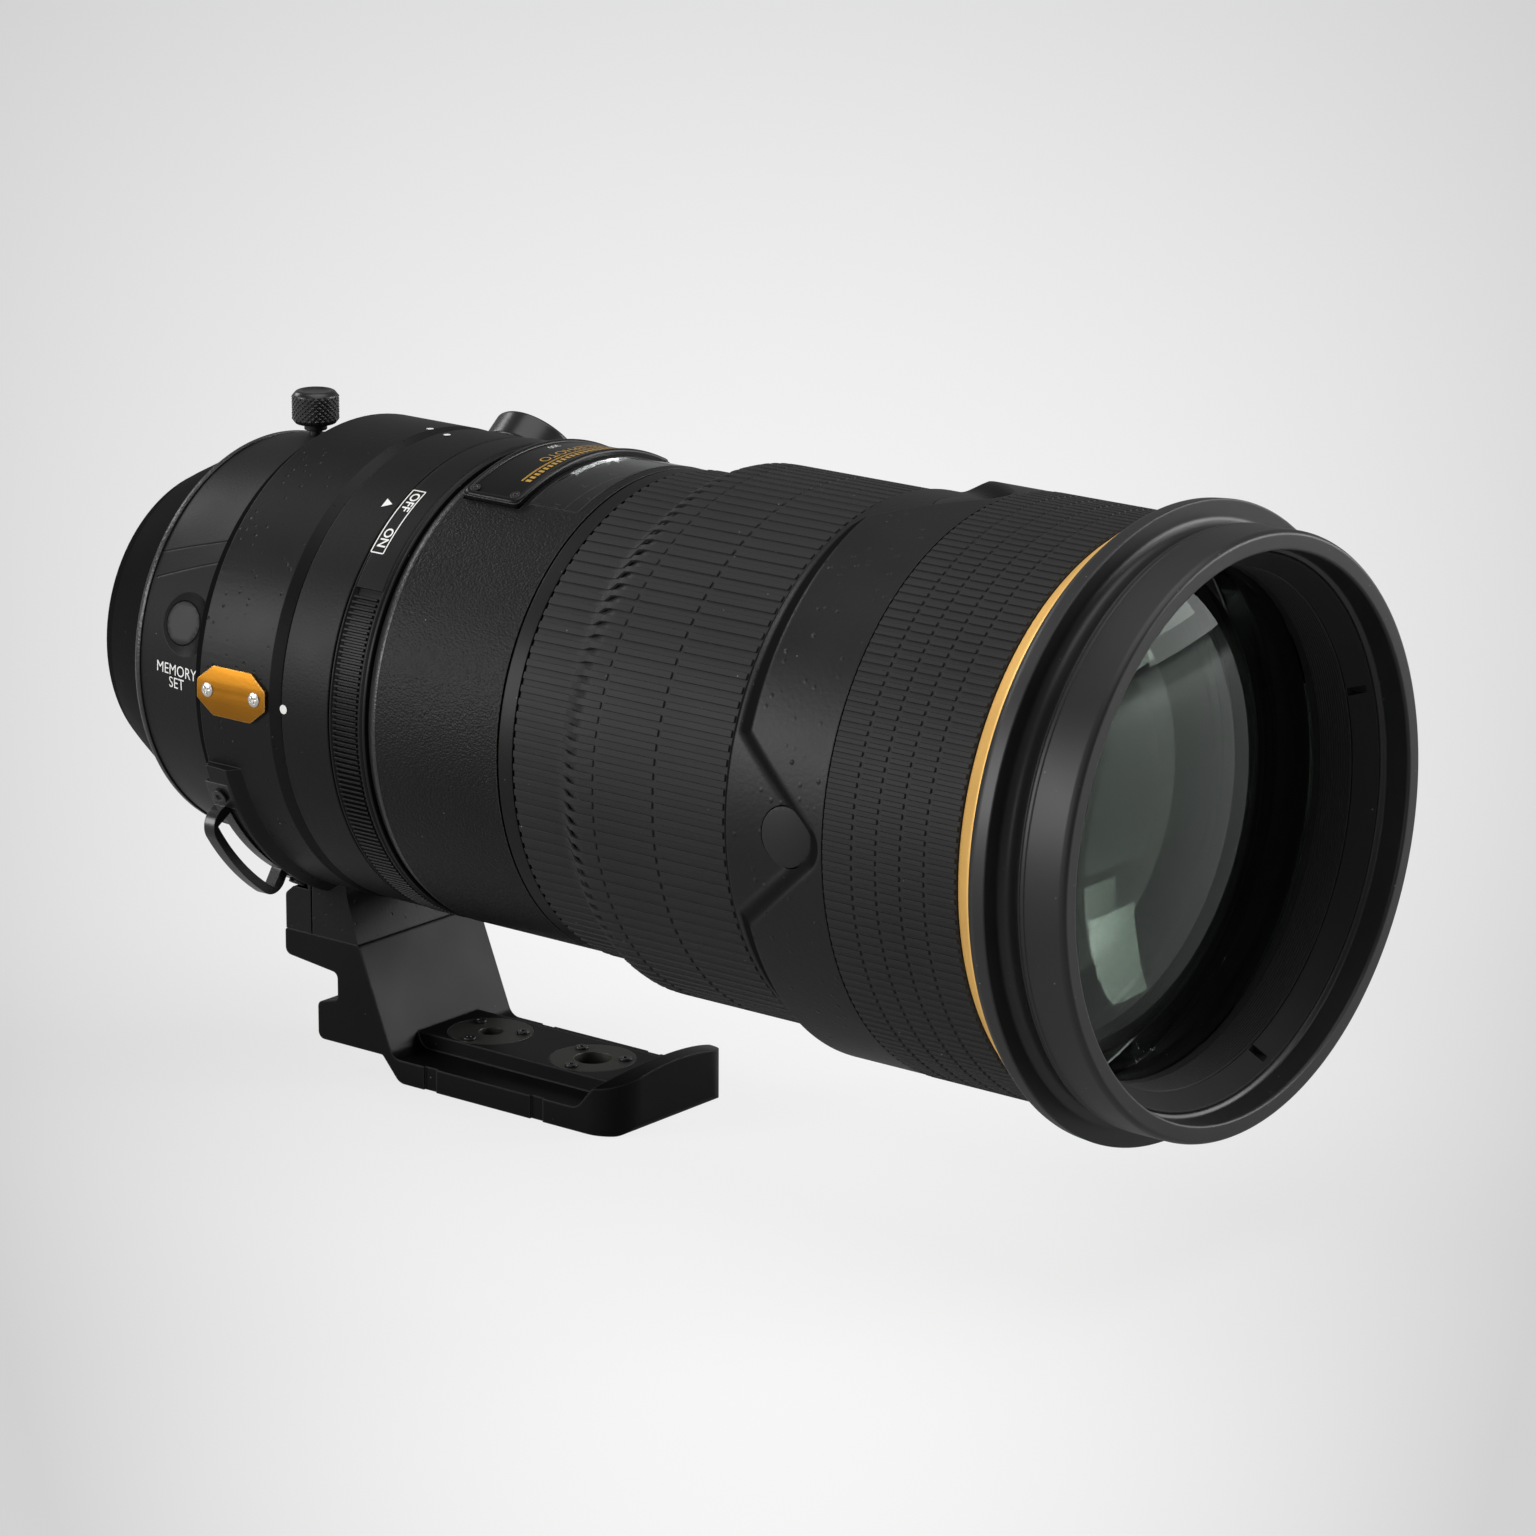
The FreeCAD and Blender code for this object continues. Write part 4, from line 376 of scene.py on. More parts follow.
steel = finish("mount steel", (0.55, 0.55, 0.54), 0.28, grain=0.5, depth=0.002, wear=0.6, worn=0.8,
               dusty=0.0, mottle=0.08, metallic=1.0)
bright_screw = finish("bright screw", (0.62, 0.60, 0.56), 0.25, grain=0.4, depth=0.002, wear=0.4,
                      worn=(0.9, 0.9, 0.88), dusty=0.0, mottle=0.05, metallic=1.0)
drive_metal = finish("drive metal", (0.30, 0.29, 0.27), 0.36, grain=0.5, depth=0.002, dusty=0.0,
                     metallic=1.0)
socket_steel = finish("socket steel", (0.05, 0.049, 0.042), 0.45, grain=0.5, depth=0.004, wear=1.5,
                      worn=(0.2, 0.2, 0.18), dusty=0.02, metallic=0.6)
gold = finish("gold anodised", (0.92, 0.54, 0.15), 0.40, grain=0.4, depth=0.002, edge=0.15, wear=0.8,
              worn=(1.0, 0.80, 0.45), dusty=0.03, mottle=0.10, metallic=0.55)
# The plate's bright pale edges are partly worn plating and partly a painted highlight on its bevel
gold_plate = finish("gold plate", (0.28, 0.115, 0.010), 0.34, grain=0.5, depth=0.006, wear=3.0,
                    worn=(1.0, 0.66, 0.25), dusty=0.03, mottle=0.15, metallic=1.0)
contact_gold = finish("contact gold", (0.85, 0.62, 0.28), 0.25, depth=0.002, dusty=0.0, mottle=0.05,
                      metallic=1.0)
board_green = finish("board resin", (0.015, 0.06, 0.025), 0.4, grain=1.5, depth=0.01)
plate_black = finish("plate black", 0.004, 0.26, grain=0.5, depth=0.002, wear=2.0, worn=0.20,
                     specular=0.16)
# Paler than the casing: partly worn paint, partly a painted highlight on the bevels
bevel_wear_and_highlight_paint = finish("worn bevel paint", 0.010, 0.34, grain=0.5, depth=0.12, wear=0.5)
white_print = finish("white print", (0.72, 0.72, 0.70), 0.5, grain=0.2, depth=0.001, wear=0.0,
                     dusty=0.0, mottle=0.05)
gold_print = finish("gold print", (0.62, 0.36, 0.07), 0.35, grain=0.3, depth=0.001, wear=0.0, dusty=0.0,
                    mottle=0.12, metallic=0.5)
print("finishes:", len(bpy.data.materials))

# %% [markdown]
# ## Glass
# Lens glass is clear and coated. The coating takes most of the white reflection away and leaves a
# faint green-grey one. The renderer works out a reflection's strength from the index, so the coated
# elements get a lower index than the 1.5 of bare glass, and a slightly green specular tint. The inner
# element's own tint is dark, which stands for all the glass behind it. Specks of dust break the polish.
# %% Glass recipe
def glass(name, tint, reflection, index=1.5, dusty=0.03, level=0.5):
    """Clear glass; tint colours what passes through it and reflection what it mirrors."""
    material, tree, shader = new_material(name)
    specks = use_group(tree, spots, Size=0.0022, Share=dusty, Width=0.1).outputs["Mask"]
    fill(shader, {"Base Color": (*tint, 1.0), "Transmission Weight": 1.0, "IOR": index,
                  "Specular IOR Level": level, "Specular Tint": (*reflection, 1.0),
                  "Roughness": math_node(tree, "MULTIPLY", specks, 0.4)})
    return material


front_glass_finish = glass("front glass", (0.88, 0.93, 0.89), (0.85, 1.0, 0.90), index=1.25)
inner_glass_finish = glass("inner glass", (0.45, 0.49, 0.46), (0.80, 1.0, 0.88), index=1.32, dusty=0.0)
window_finish = glass("window glass", (0.20, 0.21, 0.21), (1.0, 1.0, 1.0), dusty=0.02, level=0.25)
print("glass:", front_glass_finish.name, inner_glass_finish.name, window_finish.name)

# %% [markdown]
# ## Finishes for the CAD solids
# Each CAD node names a material slot of the record. The table gives every slot its finish, so that
# solids that stay on view, such as the drive inside the barrel, are dressed too.
# %% Slots
slot_finish = {
    "mount_steel": steel, "casing_paint": casing_paint, "collar_paint": collar_paint,
    "foot_paint": foot_paint, "front_paint": front_paint, "hood_paint": hood_paint,
    "inner_metal": inner_black, "drive_metal": drive_metal, "motor_steel": drive_metal,
    "grip_rubber": rubber, "ring_plastic": ring_plastic,
    "button_rubber": button_rubber, "knob_black": knob_black, "gold_anodised": gold,
    "gold_plate": gold_plate,
    "plate_black": plate_black, "screw_black": knob_black, "optical_glass": inner_glass_finish,
    "window_glass": window_finish, "socket_steel": socket_steel, "contact_plastic": plate_black,
    "contact_gold": contact_gold, "board_resin": board_green, "blade_steel": knob_black}
slot_of = {}
for name, node in nodes.items():
    slot_of[name] = node.data.materials[0].name.split(".")[0]
    node.data.materials[0] = slot_finish[slot_of[name]]
print("slots:", len(slot_finish))

# %% [markdown]
# ## Turning a ring from its outline
# Most of a lens is turned metal or moulded rings, so one outline of (distance, radius) points is spun
# round the axis. A corner may carry a radius as a third number: real edges are never razor sharp, and
# the small round is what catches the light. The weighted normals keep the long faces flat.
# %% Lathe
def rounded(corners):
    """Outline corners (x, r) or (x, r, round), in millimetres, as points with short arcs."""
    line = []
    for index, corner in enumerate(corners):
        here = Vector(corner[:2])
        if len(corner) < 3:
            line.append(here)
            continue
        before = Vector(corners[index - 1][:2]) - here
        after = Vector(corners[(index + 1) % len(corners)][:2]) - here
        reach = min(corner[2], before.length * 0.48, after.length * 0.48)
        start = here + before.normalized() * reach
        end = here + after.normalized() * reach
        for step in range(5):
            share = step / 4
            line.append(start.lerp(here, share).lerp(here.lerp(end, share), share))
    return line


def on_ring(x, radius, angle):
    """A point by distance and radius in millimetres, and by degrees from the near side over the top."""
    turn = math.radians(angle)
    return Vector((x, -radius * math.cos(turn), radius * math.sin(turn))) * MM


def bridge(bm, rows, around=True, loop=True):
    """Quads between neighbouring rows; around closes each row, loop joins the last row to the first."""
    for index, row in enumerate(rows if loop else rows[:-1]):
        following = rows[(index + 1) % len(rows)]
        for side in range(len(row) if around else len(row) - 1):
            other = (side + 1) % len(row)
            bm.faces.new((row[side], row[other], following[other], following[side]))


def new_piece(name, bm, material):
    """An object at the origin from a finished bmesh."""
    mesh = bpy.data.meshes.new(name)
    bm.to_mesh(mesh)
    bm.free()
    mesh.materials.append(material)
    piece = bpy.data.objects.new(name, mesh)
    bpy.context.scene.collection.objects.link(piece)
    return piece


def new_shell(name, bm, material):
    """The same for a closed shape, whose faces are turned outwards first."""
    bmesh.ops.recalc_face_normals(bm, faces=bm.faces)
    return new_piece(name, bm, material)


def settle(piece):
    """The modifiers' result becomes the piece's own plain mesh."""
    graph = bpy.context.evaluated_depsgraph_get()
    mesh = bpy.data.meshes.new_from_object(piece.evaluated_get(graph), depsgraph=graph)
    piece.modifiers.clear()
    piece.data = mesh
    mesh.name = piece.name
    return piece


def smooth(piece, angle=38.0):
    """Smooth faces, sharp where two meet at more than the angle, weighted by their size."""
    piece.data.shade_smooth()
    piece.data.set_sharp_from_angle(angle=math.radians(angle))
    weighted = piece.modifiers.new("weighted normals", "WEIGHTED_NORMAL")
    weighted.keep_sharp = True
    return settle(piece)


def lathe(name, corners, material, steps=240, closed=True):
    """A ring spun from an outline; one that is not closed starts and ends on the axis."""
    line = rounded(corners)
    bm = bmesh.new()
    rings = []
    for step in range(steps):
        angle = 360.0 * step / steps
        rings.append([bm.verts.new(on_ring(p.x, p.y, angle)) for p in line])
    bridge(bm, rings, around=closed)
    bmesh.ops.remove_doubles(bm, verts=bm.verts, dist=1e-7)
    return smooth(new_shell(name, bm, material))


def mount(piece, body, slot, *replaced):
    """Each finished piece rides on a body and may stand for CAD nodes; slot is not used."""
    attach(piece, body)
    if replaced:
        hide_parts(*replaced)
    print(piece.name, "faces:", len(piece.data.polygons), "on", body)
    return piece


def retire(piece):
    """A template or a cutter has served its turn."""
    bpy.data.objects.remove(piece)


def carved(piece, cutter, crossing=False):
    """Takes the cutter's shape out of the piece; crossing says that the cutter's parts overlap."""
    cut = piece.modifiers.new("carve", "BOOLEAN")
    cut.operation = "DIFFERENCE"
    cut.solver = "EXACT"
    cut.use_self = crossing
    cut.object = cutter
    settle(piece)
    retire(cutter)
    return piece


# %% [markdown]
# ## Cleaning a copy of a CAD solid
# Castings with pockets, bowls and necks are awkward to spin, and the CAD solids already have their
# shape. A copy is merged, because a CAD mesh is loose triangles, its flat parts are joined again, and
# a small bevel rounds its edges so that they catch light as a moulded or milled edge does.
# %% Refine a CAD copy
def refine(name, node, material, width, limit=34.0, carve=None):
    """A copy of a CAD solid, rounded by the width in millimetres where faces meet above the limit."""
    bm = bmesh.new()
    bm.from_mesh(nodes[node].data)
    bmesh.ops.remove_doubles(bm, verts=bm.verts, dist=3e-6)
    bmesh.ops.dissolve_limit(bm, angle_limit=math.radians(0.5), verts=bm.verts, edges=bm.edges)
    for face in bm.faces:
        face.material_index = 0
    piece = new_piece(name, bm, material)
    piece.data.shade_smooth()
    if carve:
        carved(piece, carve)
    bevel = piece.modifiers.new("small rounds", "BEVEL")
    bevel.width = width * MM
    bevel.segments = 2
    bevel.limit_method = "ANGLE"
    bevel.angle_limit = math.radians(limit)
    bevel.use_clamp_overlap = True
    bevel.miter_outer = "MITER_ARC"
    settle(piece)
    return smooth(piece, limit)


# %% [markdown]
# ## Repeats by Geometry Nodes
# Ribs, screws and fine rings are one small shape repeated by a rule. A node tree holds the rule: it
# takes the small shape and the counts as named inputs, so one tree serves several rings. It ends in
# Realize Instances and Set Material, and the result is then made a plain mesh.
# %% Tree: ribs round a ring
def geometry_tree(name, inputs):
    """An empty geometry tree with named inputs, and its input and output nodes."""
    tree = bpy.data.node_groups.new(name, "GeometryNodeTree")
    tree.is_modifier = True
    tree.interface.new_socket("Geometry", in_out="INPUT", socket_type="NodeSocketGeometry")
    for label, kind in inputs:
        tree.interface.new_socket(label, in_out="INPUT", socket_type=kind)
    tree.interface.new_socket("Geometry", in_out="OUTPUT", socket_type="NodeSocketGeometry")
    return tree, add(tree, "NodeGroupInput"), add(tree, "NodeGroupOutput")


def run_tree(piece, tree, values):
    """Adds the tree as a modifier, sets its inputs by identifier and settles the piece."""
    modifier = piece.modifiers.new(tree.name, "NODES")
    modifier.node_group = tree
    for item in tree.interface.items_tree:
        if item.item_type == "SOCKET" and item.in_out == "INPUT" and item.name in values:
            modifier[item.identifier] = values[item.name]
    return settle(piece)


def finish_tree(tree, enter, leave, *parts):
    """Joins the parts, realizes their instances and sets the material, as the tree's last steps."""
    joined = add(tree, "GeometryNodeJoinGeometry")
    for part in parts:
        fill(joined, {"Geometry": part})
    real = add(tree, "GeometryNodeRealizeInstances", {"Geometry": joined.outputs["Geometry"]})
    painted = add(tree, "GeometryNodeSetMaterial", {"Geometry": real.outputs["Geometry"],
                                                    "Material": enter.outputs["Finish"]})
    fill(leave, {"Geometry": painted.outputs["Geometry"]})


rib_tree, enter, leave = geometry_tree("ribs round a ring", [
    ("Rib", "NodeSocketObject"), ("Count", "NodeSocketInt"), ("First angle", "NodeSocketFloat"),
    ("Sweep", "NodeSocketFloat"), ("Finish", "NodeSocketMaterial")])
points = add(rib_tree, "GeometryNodePoints", {"Count": enter.outputs["Count"]})
shape = add(rib_tree, "GeometryNodeObjectInfo", {"Object": enter.outputs["Rib"]})
number = add(rib_tree, "GeometryNodeInputIndex")
share = math_node(rib_tree, "DIVIDE", number.outputs[0], enter.outputs["Count"])
swept = math_node(rib_tree, "MULTIPLY", share, enter.outputs["Sweep"])
angle = math_node(rib_tree, "ADD", swept, enter.outputs["First angle"])
turned = math_node(rib_tree, "MULTIPLY", angle, -math.pi / 180.0)
spin = add(rib_tree, "ShaderNodeCombineXYZ", {"X": turned})
euler = add(rib_tree, "FunctionNodeEulerToRotation", {0: spin.outputs["Vector"]})
placed = add(rib_tree, "GeometryNodeInstanceOnPoints", {
    "Points": points.outputs[0], "Instance": shape.outputs["Geometry"], "Rotation": euler.outputs[0]})
finish_tree(rib_tree, enter, leave, enter.outputs["Geometry"], placed.outputs["Instances"])
print("tree:", rib_tree.name)

# %% Tree: a small part on each point
point_tree, enter, leave = geometry_tree("small part on points", [
    ("Part", "NodeSocketObject"), ("Finish", "NodeSocketMaterial")])
shape = add(point_tree, "GeometryNodeObjectInfo", {"Object": enter.outputs["Part"]})
direction = add(point_tree, "GeometryNodeInputNamedAttribute", data_type="FLOAT_VECTOR")
fill(direction, {"Name": "turn"})
euler = add(point_tree, "FunctionNodeEulerToRotation", {0: direction.outputs["Attribute"]})
placed = add(point_tree, "GeometryNodeInstanceOnPoints", {
    "Points": enter.outputs["Geometry"], "Instance": shape.outputs["Geometry"],
    "Rotation": euler.outputs[0]})
finish_tree(point_tree, enter, leave, placed.outputs["Instances"])
print("tree:", point_tree.name)


# %% [markdown]
# ## The rubber grips
# The focus grip and the front grip are rubber sleeves with narrow raised bars along the axis. Each bar
# is cut by thin breaks at the same distances on every bar, so the cuts line up as dashes round the
# ring. A bar is modelled once, over the sleeve's outline, and the tree above repeats it.
# %% Rib shape
def rib_template(name, line, width, rise, breaks=(), gap=0.5, end=0.5):
    """One bar that follows (x, r) points; it is cut at the breaks and rounded at each end."""
    stations = [p[0] for p in line]

    def radius_at(x):
        for first, second in zip(line, line[1:]):
            if first[0] <= x <= second[0]:
                share = (x - first[0]) / (second[0] - first[0])
                return first[1] + (second[1] - first[1]) * share
        return line[-1][1]

    pieces = []
    begin = stations[0]
    for cut in sorted(breaks):
        pieces.append((begin, cut - gap / 2))
        begin = cut + gap / 2
    pieces.append((begin, stations[-1]))
    bm = bmesh.new()
    for x_from, x_to in pieces:
        inner = [x for x in stations if x_from + end < x < x_to - end]
        rows = []
        low = rise * 0.6
        for x, drop, narrow in ([(x_from, low, 0.8), (x_from + end * 0.4, 0.0, 1.0)]
                                + [(x, 0.0, 1.0) for x in inner]
                                + [(x_to - end * 0.4, 0.0, 1.0), (x_to, low, 0.8)]):
            base = radius_at(x)
            half = width / 2 * narrow
            top = base + rise - drop
            round_off = min(0.14, rise * 0.35)
            rows.append([bm.verts.new((x * MM, -r * MM, z * MM)) for r, z in (
                (base - 0.35, -half), (top - round_off, -half), (top, -half + round_off),
                (top, half - round_off), (top - round_off, half), (base - 0.35, half))])
        bridge(bm, rows, around=False, loop=False)
        bm.faces.new(rows[0])
        bm.faces.new(rows[-1])
    return new_shell(name, bm, rubber)


def ribbed(name, outline, bar, count, material, body, slot, node, first_angle=0.0, sweep=360.0):
    """A sleeve spun from its outline with its bars set round it, mounted for its CAD node."""
    sleeve = lathe(name, outline, material)
    run_tree(sleeve, rib_tree, {"Rib": bar, "Count": count, "First angle": first_angle,
                                "Sweep": sweep, "Finish": material})
    retire(bar)
    mount(smooth(sleeve, 40.0), body, slot, node)


# %% Focus grip and front grip
bar = rib_template("focus bar", [(128.8, 49.32), (140.6, 49.32), (141.8, 49.6), (145.6, 52.8),
                                 (147.2, 53.28), (149.0, 53.32), (184.7, 53.32)],
                   width=1.4, rise=0.3, breaks=(152.6, 167.6))
ribbed("focus_grip_sleeve", [
    (128.5, 48.1), (128.5, 48.9, 0.4), (129.4, 49.32), (140.6, 49.32, 1.5), (143.4, 50.3, 1.5),
    (147.8, 53.32, 1.2), (184.95, 53.32, 0.3), (185.0, 52.2), (148.4, 52.2), (142.2, 48.1)],
    bar, 120, rubber, "focus_control", "grip_rubber", "focus_grip")
bar = rib_template("front bar", [(211.35, 57.1), (242.2, 57.1)], width=0.98, rise=0.3,
                   breaks=(218.4, 224.0, 229.6, 235.2))
ribbed("front_grip_sleeve", [(211.15, 55.9), (211.15, 57.1, 0.3), (242.4, 57.1, 0.3), (242.4, 55.9)],
       bar, 184, rubber, "chassis", "grip_rubber", "front_grip")

# %% [markdown]
# ## The stabiliser switch ring
# The ring behind the main barrel turns to switch the stabiliser. Fine ribs cover it except over the
# top, where the print stands. The ribs are the same kind of repeat, over part of the circle only.
# %% Switch ring
bar = rib_template("switch bar", [(81.0, 48.4), (87.4, 48.4)], width=0.6, rise=0.9, end=0.3)
ribbed("switch_ring_ribbed", [
    (80.05, 46.6), (80.05, 49.2, 0.3), (80.7, 49.2), (81.0, 48.4), (87.4, 48.4), (87.7, 49.15),
    (88.3, 49.15), (88.5, 48.8), (88.8, 48.8), (89.0, 49.25, 0.2), (89.65, 49.2, 0.2), (89.65, 46.6)],
    bar, 180, ring_plastic, "stabiliser_control", "ring_plastic", "switch_ring", -208.0, 240.0)

# Smooth field that carries the print
FIELD_FROM, FIELD_SWEEP, FIELD_STEPS = 33.0, 118.0, 48
bm = bmesh.new()
rows = []
for step in range(FIELD_STEPS + 1):
    angle = FIELD_FROM + FIELD_SWEEP * step / FIELD_STEPS
    rows.append([bm.verts.new(on_ring(x, r, angle)) for x, r in (
        (80.7, 48.6), (80.7, 49.2), (81.0, 49.28), (87.4, 49.28), (87.8, 49.2), (87.8, 48.6))])
bridge(bm, rows, loop=False)
bm.faces.new(rows[0])
bm.faces.new(rows[-1])
print_field = smooth(new_shell("switch_ring_print_field", bm, ring_plastic))
mount(print_field, "stabiliser_control", "ring_plastic")

# %% [markdown]
# ## The rings that the lathe makes well
# The index ring, the gold trim ring and the front tube are plain turned parts. The front tube has a
# flange that the hood meets, a groove ahead of it and a fine double line, and a stepped rim round the
# glass. Their small rounds are part of the outline.
# %% Index ring and gold ring
index_ring = lathe("index_ring_turned", [
    (66.35, 41.5), (66.35, 47.4), (67.0, 47.5), (67.0, 49.0, 0.2), (79.65, 49.1, 0.3), (79.65, 46.3),
    (89.9, 46.3), (89.9, 44.0), (69.0, 44.0), (69.0, 41.5)], casing_paint)
mount(index_ring, "chassis", "casing_paint", "index_ring")
gold_ring = lathe("gold_trim_ring", [
    (242.6, 55.95), (242.6, 56.9, 0.2), (243.2, 57.3), (246.8, 60.0, 0.5), (247.5, 60.35, 0.15),
    (247.5, 55.95)], gold, steps=320)
mount(gold_ring, "chassis", "gold_anodised", "gold_ring")

# %% Front tube
front_tube = lathe("front_tube_turned", [
    (247.6, 53.5), (247.6, 60.5, 0.15), (249.0, 61.7, 0.8), (252.25, 62.0, 0.35), (252.25, 58.2, 0.5),
    (253.3, 56.7, 1.2), (255.6, 56.75, 1.0), (257.1, 58.2, 0.25), (257.35, 57.85), (257.6, 58.25, 0.15),
    (258.3, 58.25, 0.1), (258.45, 58.05), (258.6, 58.28, 0.1), (266.6, 58.3, 0.6), (267.5, 57.7, 0.4),
    (267.5, 54.7, 0.35), (267.0, 54.4, 0.3), (262.1, 54.35, 0.3), (261.6, 53.5, 0.3)],
    hood_paint, steps=320)
mount(front_tube, "chassis", "hood_paint", "front_tube")

# %% [markdown]
# ## Fine rings behind the glass
# Inside the front tube, a baffle has many fine rings that keep stray light off the glass. They are
# one circle swept into a thin ring and repeated along the axis by a small tree of its own.
# %% Baffle
ring_tree, enter, leave = geometry_tree("fine rings along the axis", [
    ("Radius", "NodeSocketFloat"), ("Thickness", "NodeSocketFloat"), ("Pitch", "NodeSocketFloat"),
    ("Start", "NodeSocketFloat"), ("Count", "NodeSocketInt"), ("Finish", "NodeSocketMaterial")])
circle = add(ring_tree, "GeometryNodeCurvePrimitiveCircle", {
    "Resolution": 160, "Radius": enter.outputs["Radius"]})
section = add(ring_tree, "GeometryNodeCurvePrimitiveCircle", {
    "Resolution": 4, "Radius": enter.outputs["Thickness"]})
ring = add(ring_tree, "GeometryNodeCurveToMesh", {"Curve": circle.outputs["Curve"],
                                                  "Profile Curve": section.outputs["Curve"]})
points = add(ring_tree, "GeometryNodePoints", {"Count": enter.outputs["Count"]})
number = add(ring_tree, "GeometryNodeInputIndex")
station = math_node(ring_tree, "MULTIPLY_ADD", number.outputs[0], enter.outputs["Pitch"],
                    enter.outputs["Start"])
spot = add(ring_tree, "ShaderNodeCombineXYZ", {"X": station})
moved = add(ring_tree, "GeometryNodeSetPosition", {"Geometry": points.outputs[0],
                                                   "Position": spot.outputs["Vector"]})
placed = add(ring_tree, "GeometryNodeInstanceOnPoints", {
    "Points": moved.outputs["Geometry"], "Instance": ring.outputs["Mesh"],
    "Rotation": (0.0, math.pi / 2, 0.0)})
finish_tree(ring_tree, enter, leave, enter.outputs["Geometry"], placed.outputs["Instances"])

baffle = lathe("front_baffle_ribbed", [
    (248.1, 49.9), (249.4, 49.9), (249.6, 50.3), (256.7, 50.3), (256.85, 50.0), (256.85, 53.4),
    (248.1, 53.4)], inner_black)
run_tree(baffle, ring_tree, {"Radius": 50.28 * MM, "Thickness": 0.24 * MM, "Pitch": 0.55 * MM,
                             "Start": 249.9 * MM, "Count": 13, "Finish": inner_black})
smooth(baffle, 50.0)
mount(baffle, "chassis", "inner_metal", "front_baffle")

# %% [markdown]
# ## Lens elements
# A lens element is two shallow domes on one rim. Facets would break up every reflection, so each one
# is spun from a fine arc. The bulge says how far each face stands out at the axis.
# %% Elements
ELEMENT_RADIUS = 52.0


def dome(edge, bulge, steps=28):
    """Points (x, r) from the axis to the rim of a dome whose rim lies at the edge."""
    sphere = (ELEMENT_RADIUS ** 2 + bulge ** 2) / (2 * bulge)
    points = []
    for step in range(steps + 1):
        r = ELEMENT_RADIUS * step / steps
        height = math.copysign(math.sqrt(sphere ** 2 - r ** 2), bulge)
        points.append((edge + bulge - sphere + height, r))
    return points


def element(node, rear, front, material):
    """A lens element from its two domes; it stands for the CAD node of its name."""
    piece = lathe(node + "_polished", rear + front[::-1], material, steps=160, closed=False)
    return mount(piece, "chassis", "optical_glass", node)


element("front_glass", dome(243.3, 6.4), dome(247.3, 6.8), front_glass_finish)
low, high = (corner[0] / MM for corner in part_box("front_element"))
element("front_element", dome(low + 8.0, -10.0), dome(high - 9.0, 9.0), inner_glass_finish)
print("front element", round(low, 1), round(high, 1))

# %% [markdown]
# ## Castings and moulded shells from the solids
# The collar, the foot, the main barrel and the small plates keep the CAD shape. Each gets rounded
# edges of its own size: a wide soft round on the cast foot, a fine one on thin plates. Two of them are
# corrected where the photograph departs from the solid: the collar's rear edge and the side plate.
# %% Refined solids
rounds = {"collar_ring": 0.35, "collar_foot": 1.3, "main_barrel": 0.3, "side_plate": 0.25,
          "strap_lugs": 0.35, "foot_sockets": 0.12, "memory_button": 0.3, "mount_ring": 0.15,
          "lock_knob": 0.3, "top_plate": 0.3, "switch_panel": 0.3, "retaining_ring": 0.12,
          "focus_button_top": 0.2, "focus_button_near": 0.2, "focus_button_bottom": 0.2,
          "focus_button_far": 0.2, "focus_mode_slider": 0.2, "focus_range_slider": 0.2,
          "stabiliser_slider": 0.2, "recall_slider": 0.2, "focus_ring": 0.15}
PLATE_MIDDLE, PLATE_NARROWING = 1.7 * MM, 0.84
for node, width in rounds.items():
    paint, limit, wedge = slot_finish[slot_of[node]], 34.0, None
    if node == "main_barrel":
        paint = barrel_paint
    if node == "collar_ring":
        # The collar's rear edge is a wide slope, which stays dark beside the pale band behind it; the
        # paint's rear shade, a painted shade, takes its gloss
        wedge = lathe("wedge", [(41.0, 46.85), (44.7, 48.95), (45.3, 51.5), (41.0, 51.5)], paint)
        limit = 22.0
    piece = refine(node + "_rounded", node, paint, width, limit, wedge)
    if node == "side_plate":
        # The photographed plate is a little narrower round the collar than the solid
        for vertex in piece.data.vertices:
            vertex.co.z = PLATE_MIDDLE + (vertex.co.z - PLATE_MIDDLE) * PLATE_NARROWING
    mount(piece, body_of[node], slot_of[node], node)

# %% [markdown]
# ## Two worn edges, partly a painted highlight
# Paint wears thin on an edge that is often touched, and such an edge shows as a pale line; the paler
# colour here is partly that wear and partly a painted highlight. Two rings carry it: the main barrel's
# rear bevel and the rounded step between the mount and the drawer. They are thin rings of their own, so
# that they can have a paint that is glossier than the rest.
# %% Worn edges with a painted highlight
bevel = lathe("main_barrel_bevel", [
    (89.95, 47.6), (89.95, 48.45, 0.15), (91.9, 49.3, 0.5), (92.6, 49.32), (92.6, 48.5)], bevel_wear_and_highlight_paint)
mount(bevel, "chassis", "casing_paint")
step_ring = lathe("rear_step", [
    (18.9, 40.4), (18.9, 41.5, 0.4), (19.9, 42.3, 0.5), (21.0, 42.3, 0.15), (21.0, 41.6)], bevel_wear_and_highlight_paint)
mount(step_ring, "chassis", "casing_paint")

# %% [markdown]
# ## The front barrel and its four recesses
# Round the front barrel runs a slope down to the focus grip, and at each focus button it reaches
# forward in a V with a round tip. The barrel is one grid of points round the axis. A small function
# says how far a point lies inside the slope's upper edge, and so how deep it sinks.
# %% Front barrel
BUTTON_X, SKIN_RADIUS, HOLE_RADIUS = 200.3, 57.25, 6.1
TURN_STEPS, SKIN_STEPS = 720, 62
# A recess: the centre and radius of its round tip, the slant of its sides and where they would meet
TIP_X, TIP_RADIUS, SLANT, SLANT_COSINE, POINT_X = 204.4, 6.0, 1.1, 0.673, 213.31
# The slope's upper edge and its length, the width of a recess's wall, and the depth of both
SLOPE_EDGE, SLOPE_LENGTH, WALL_WIDTH, DEEPEST = 191.9, 6.2, 4.8, 3.2


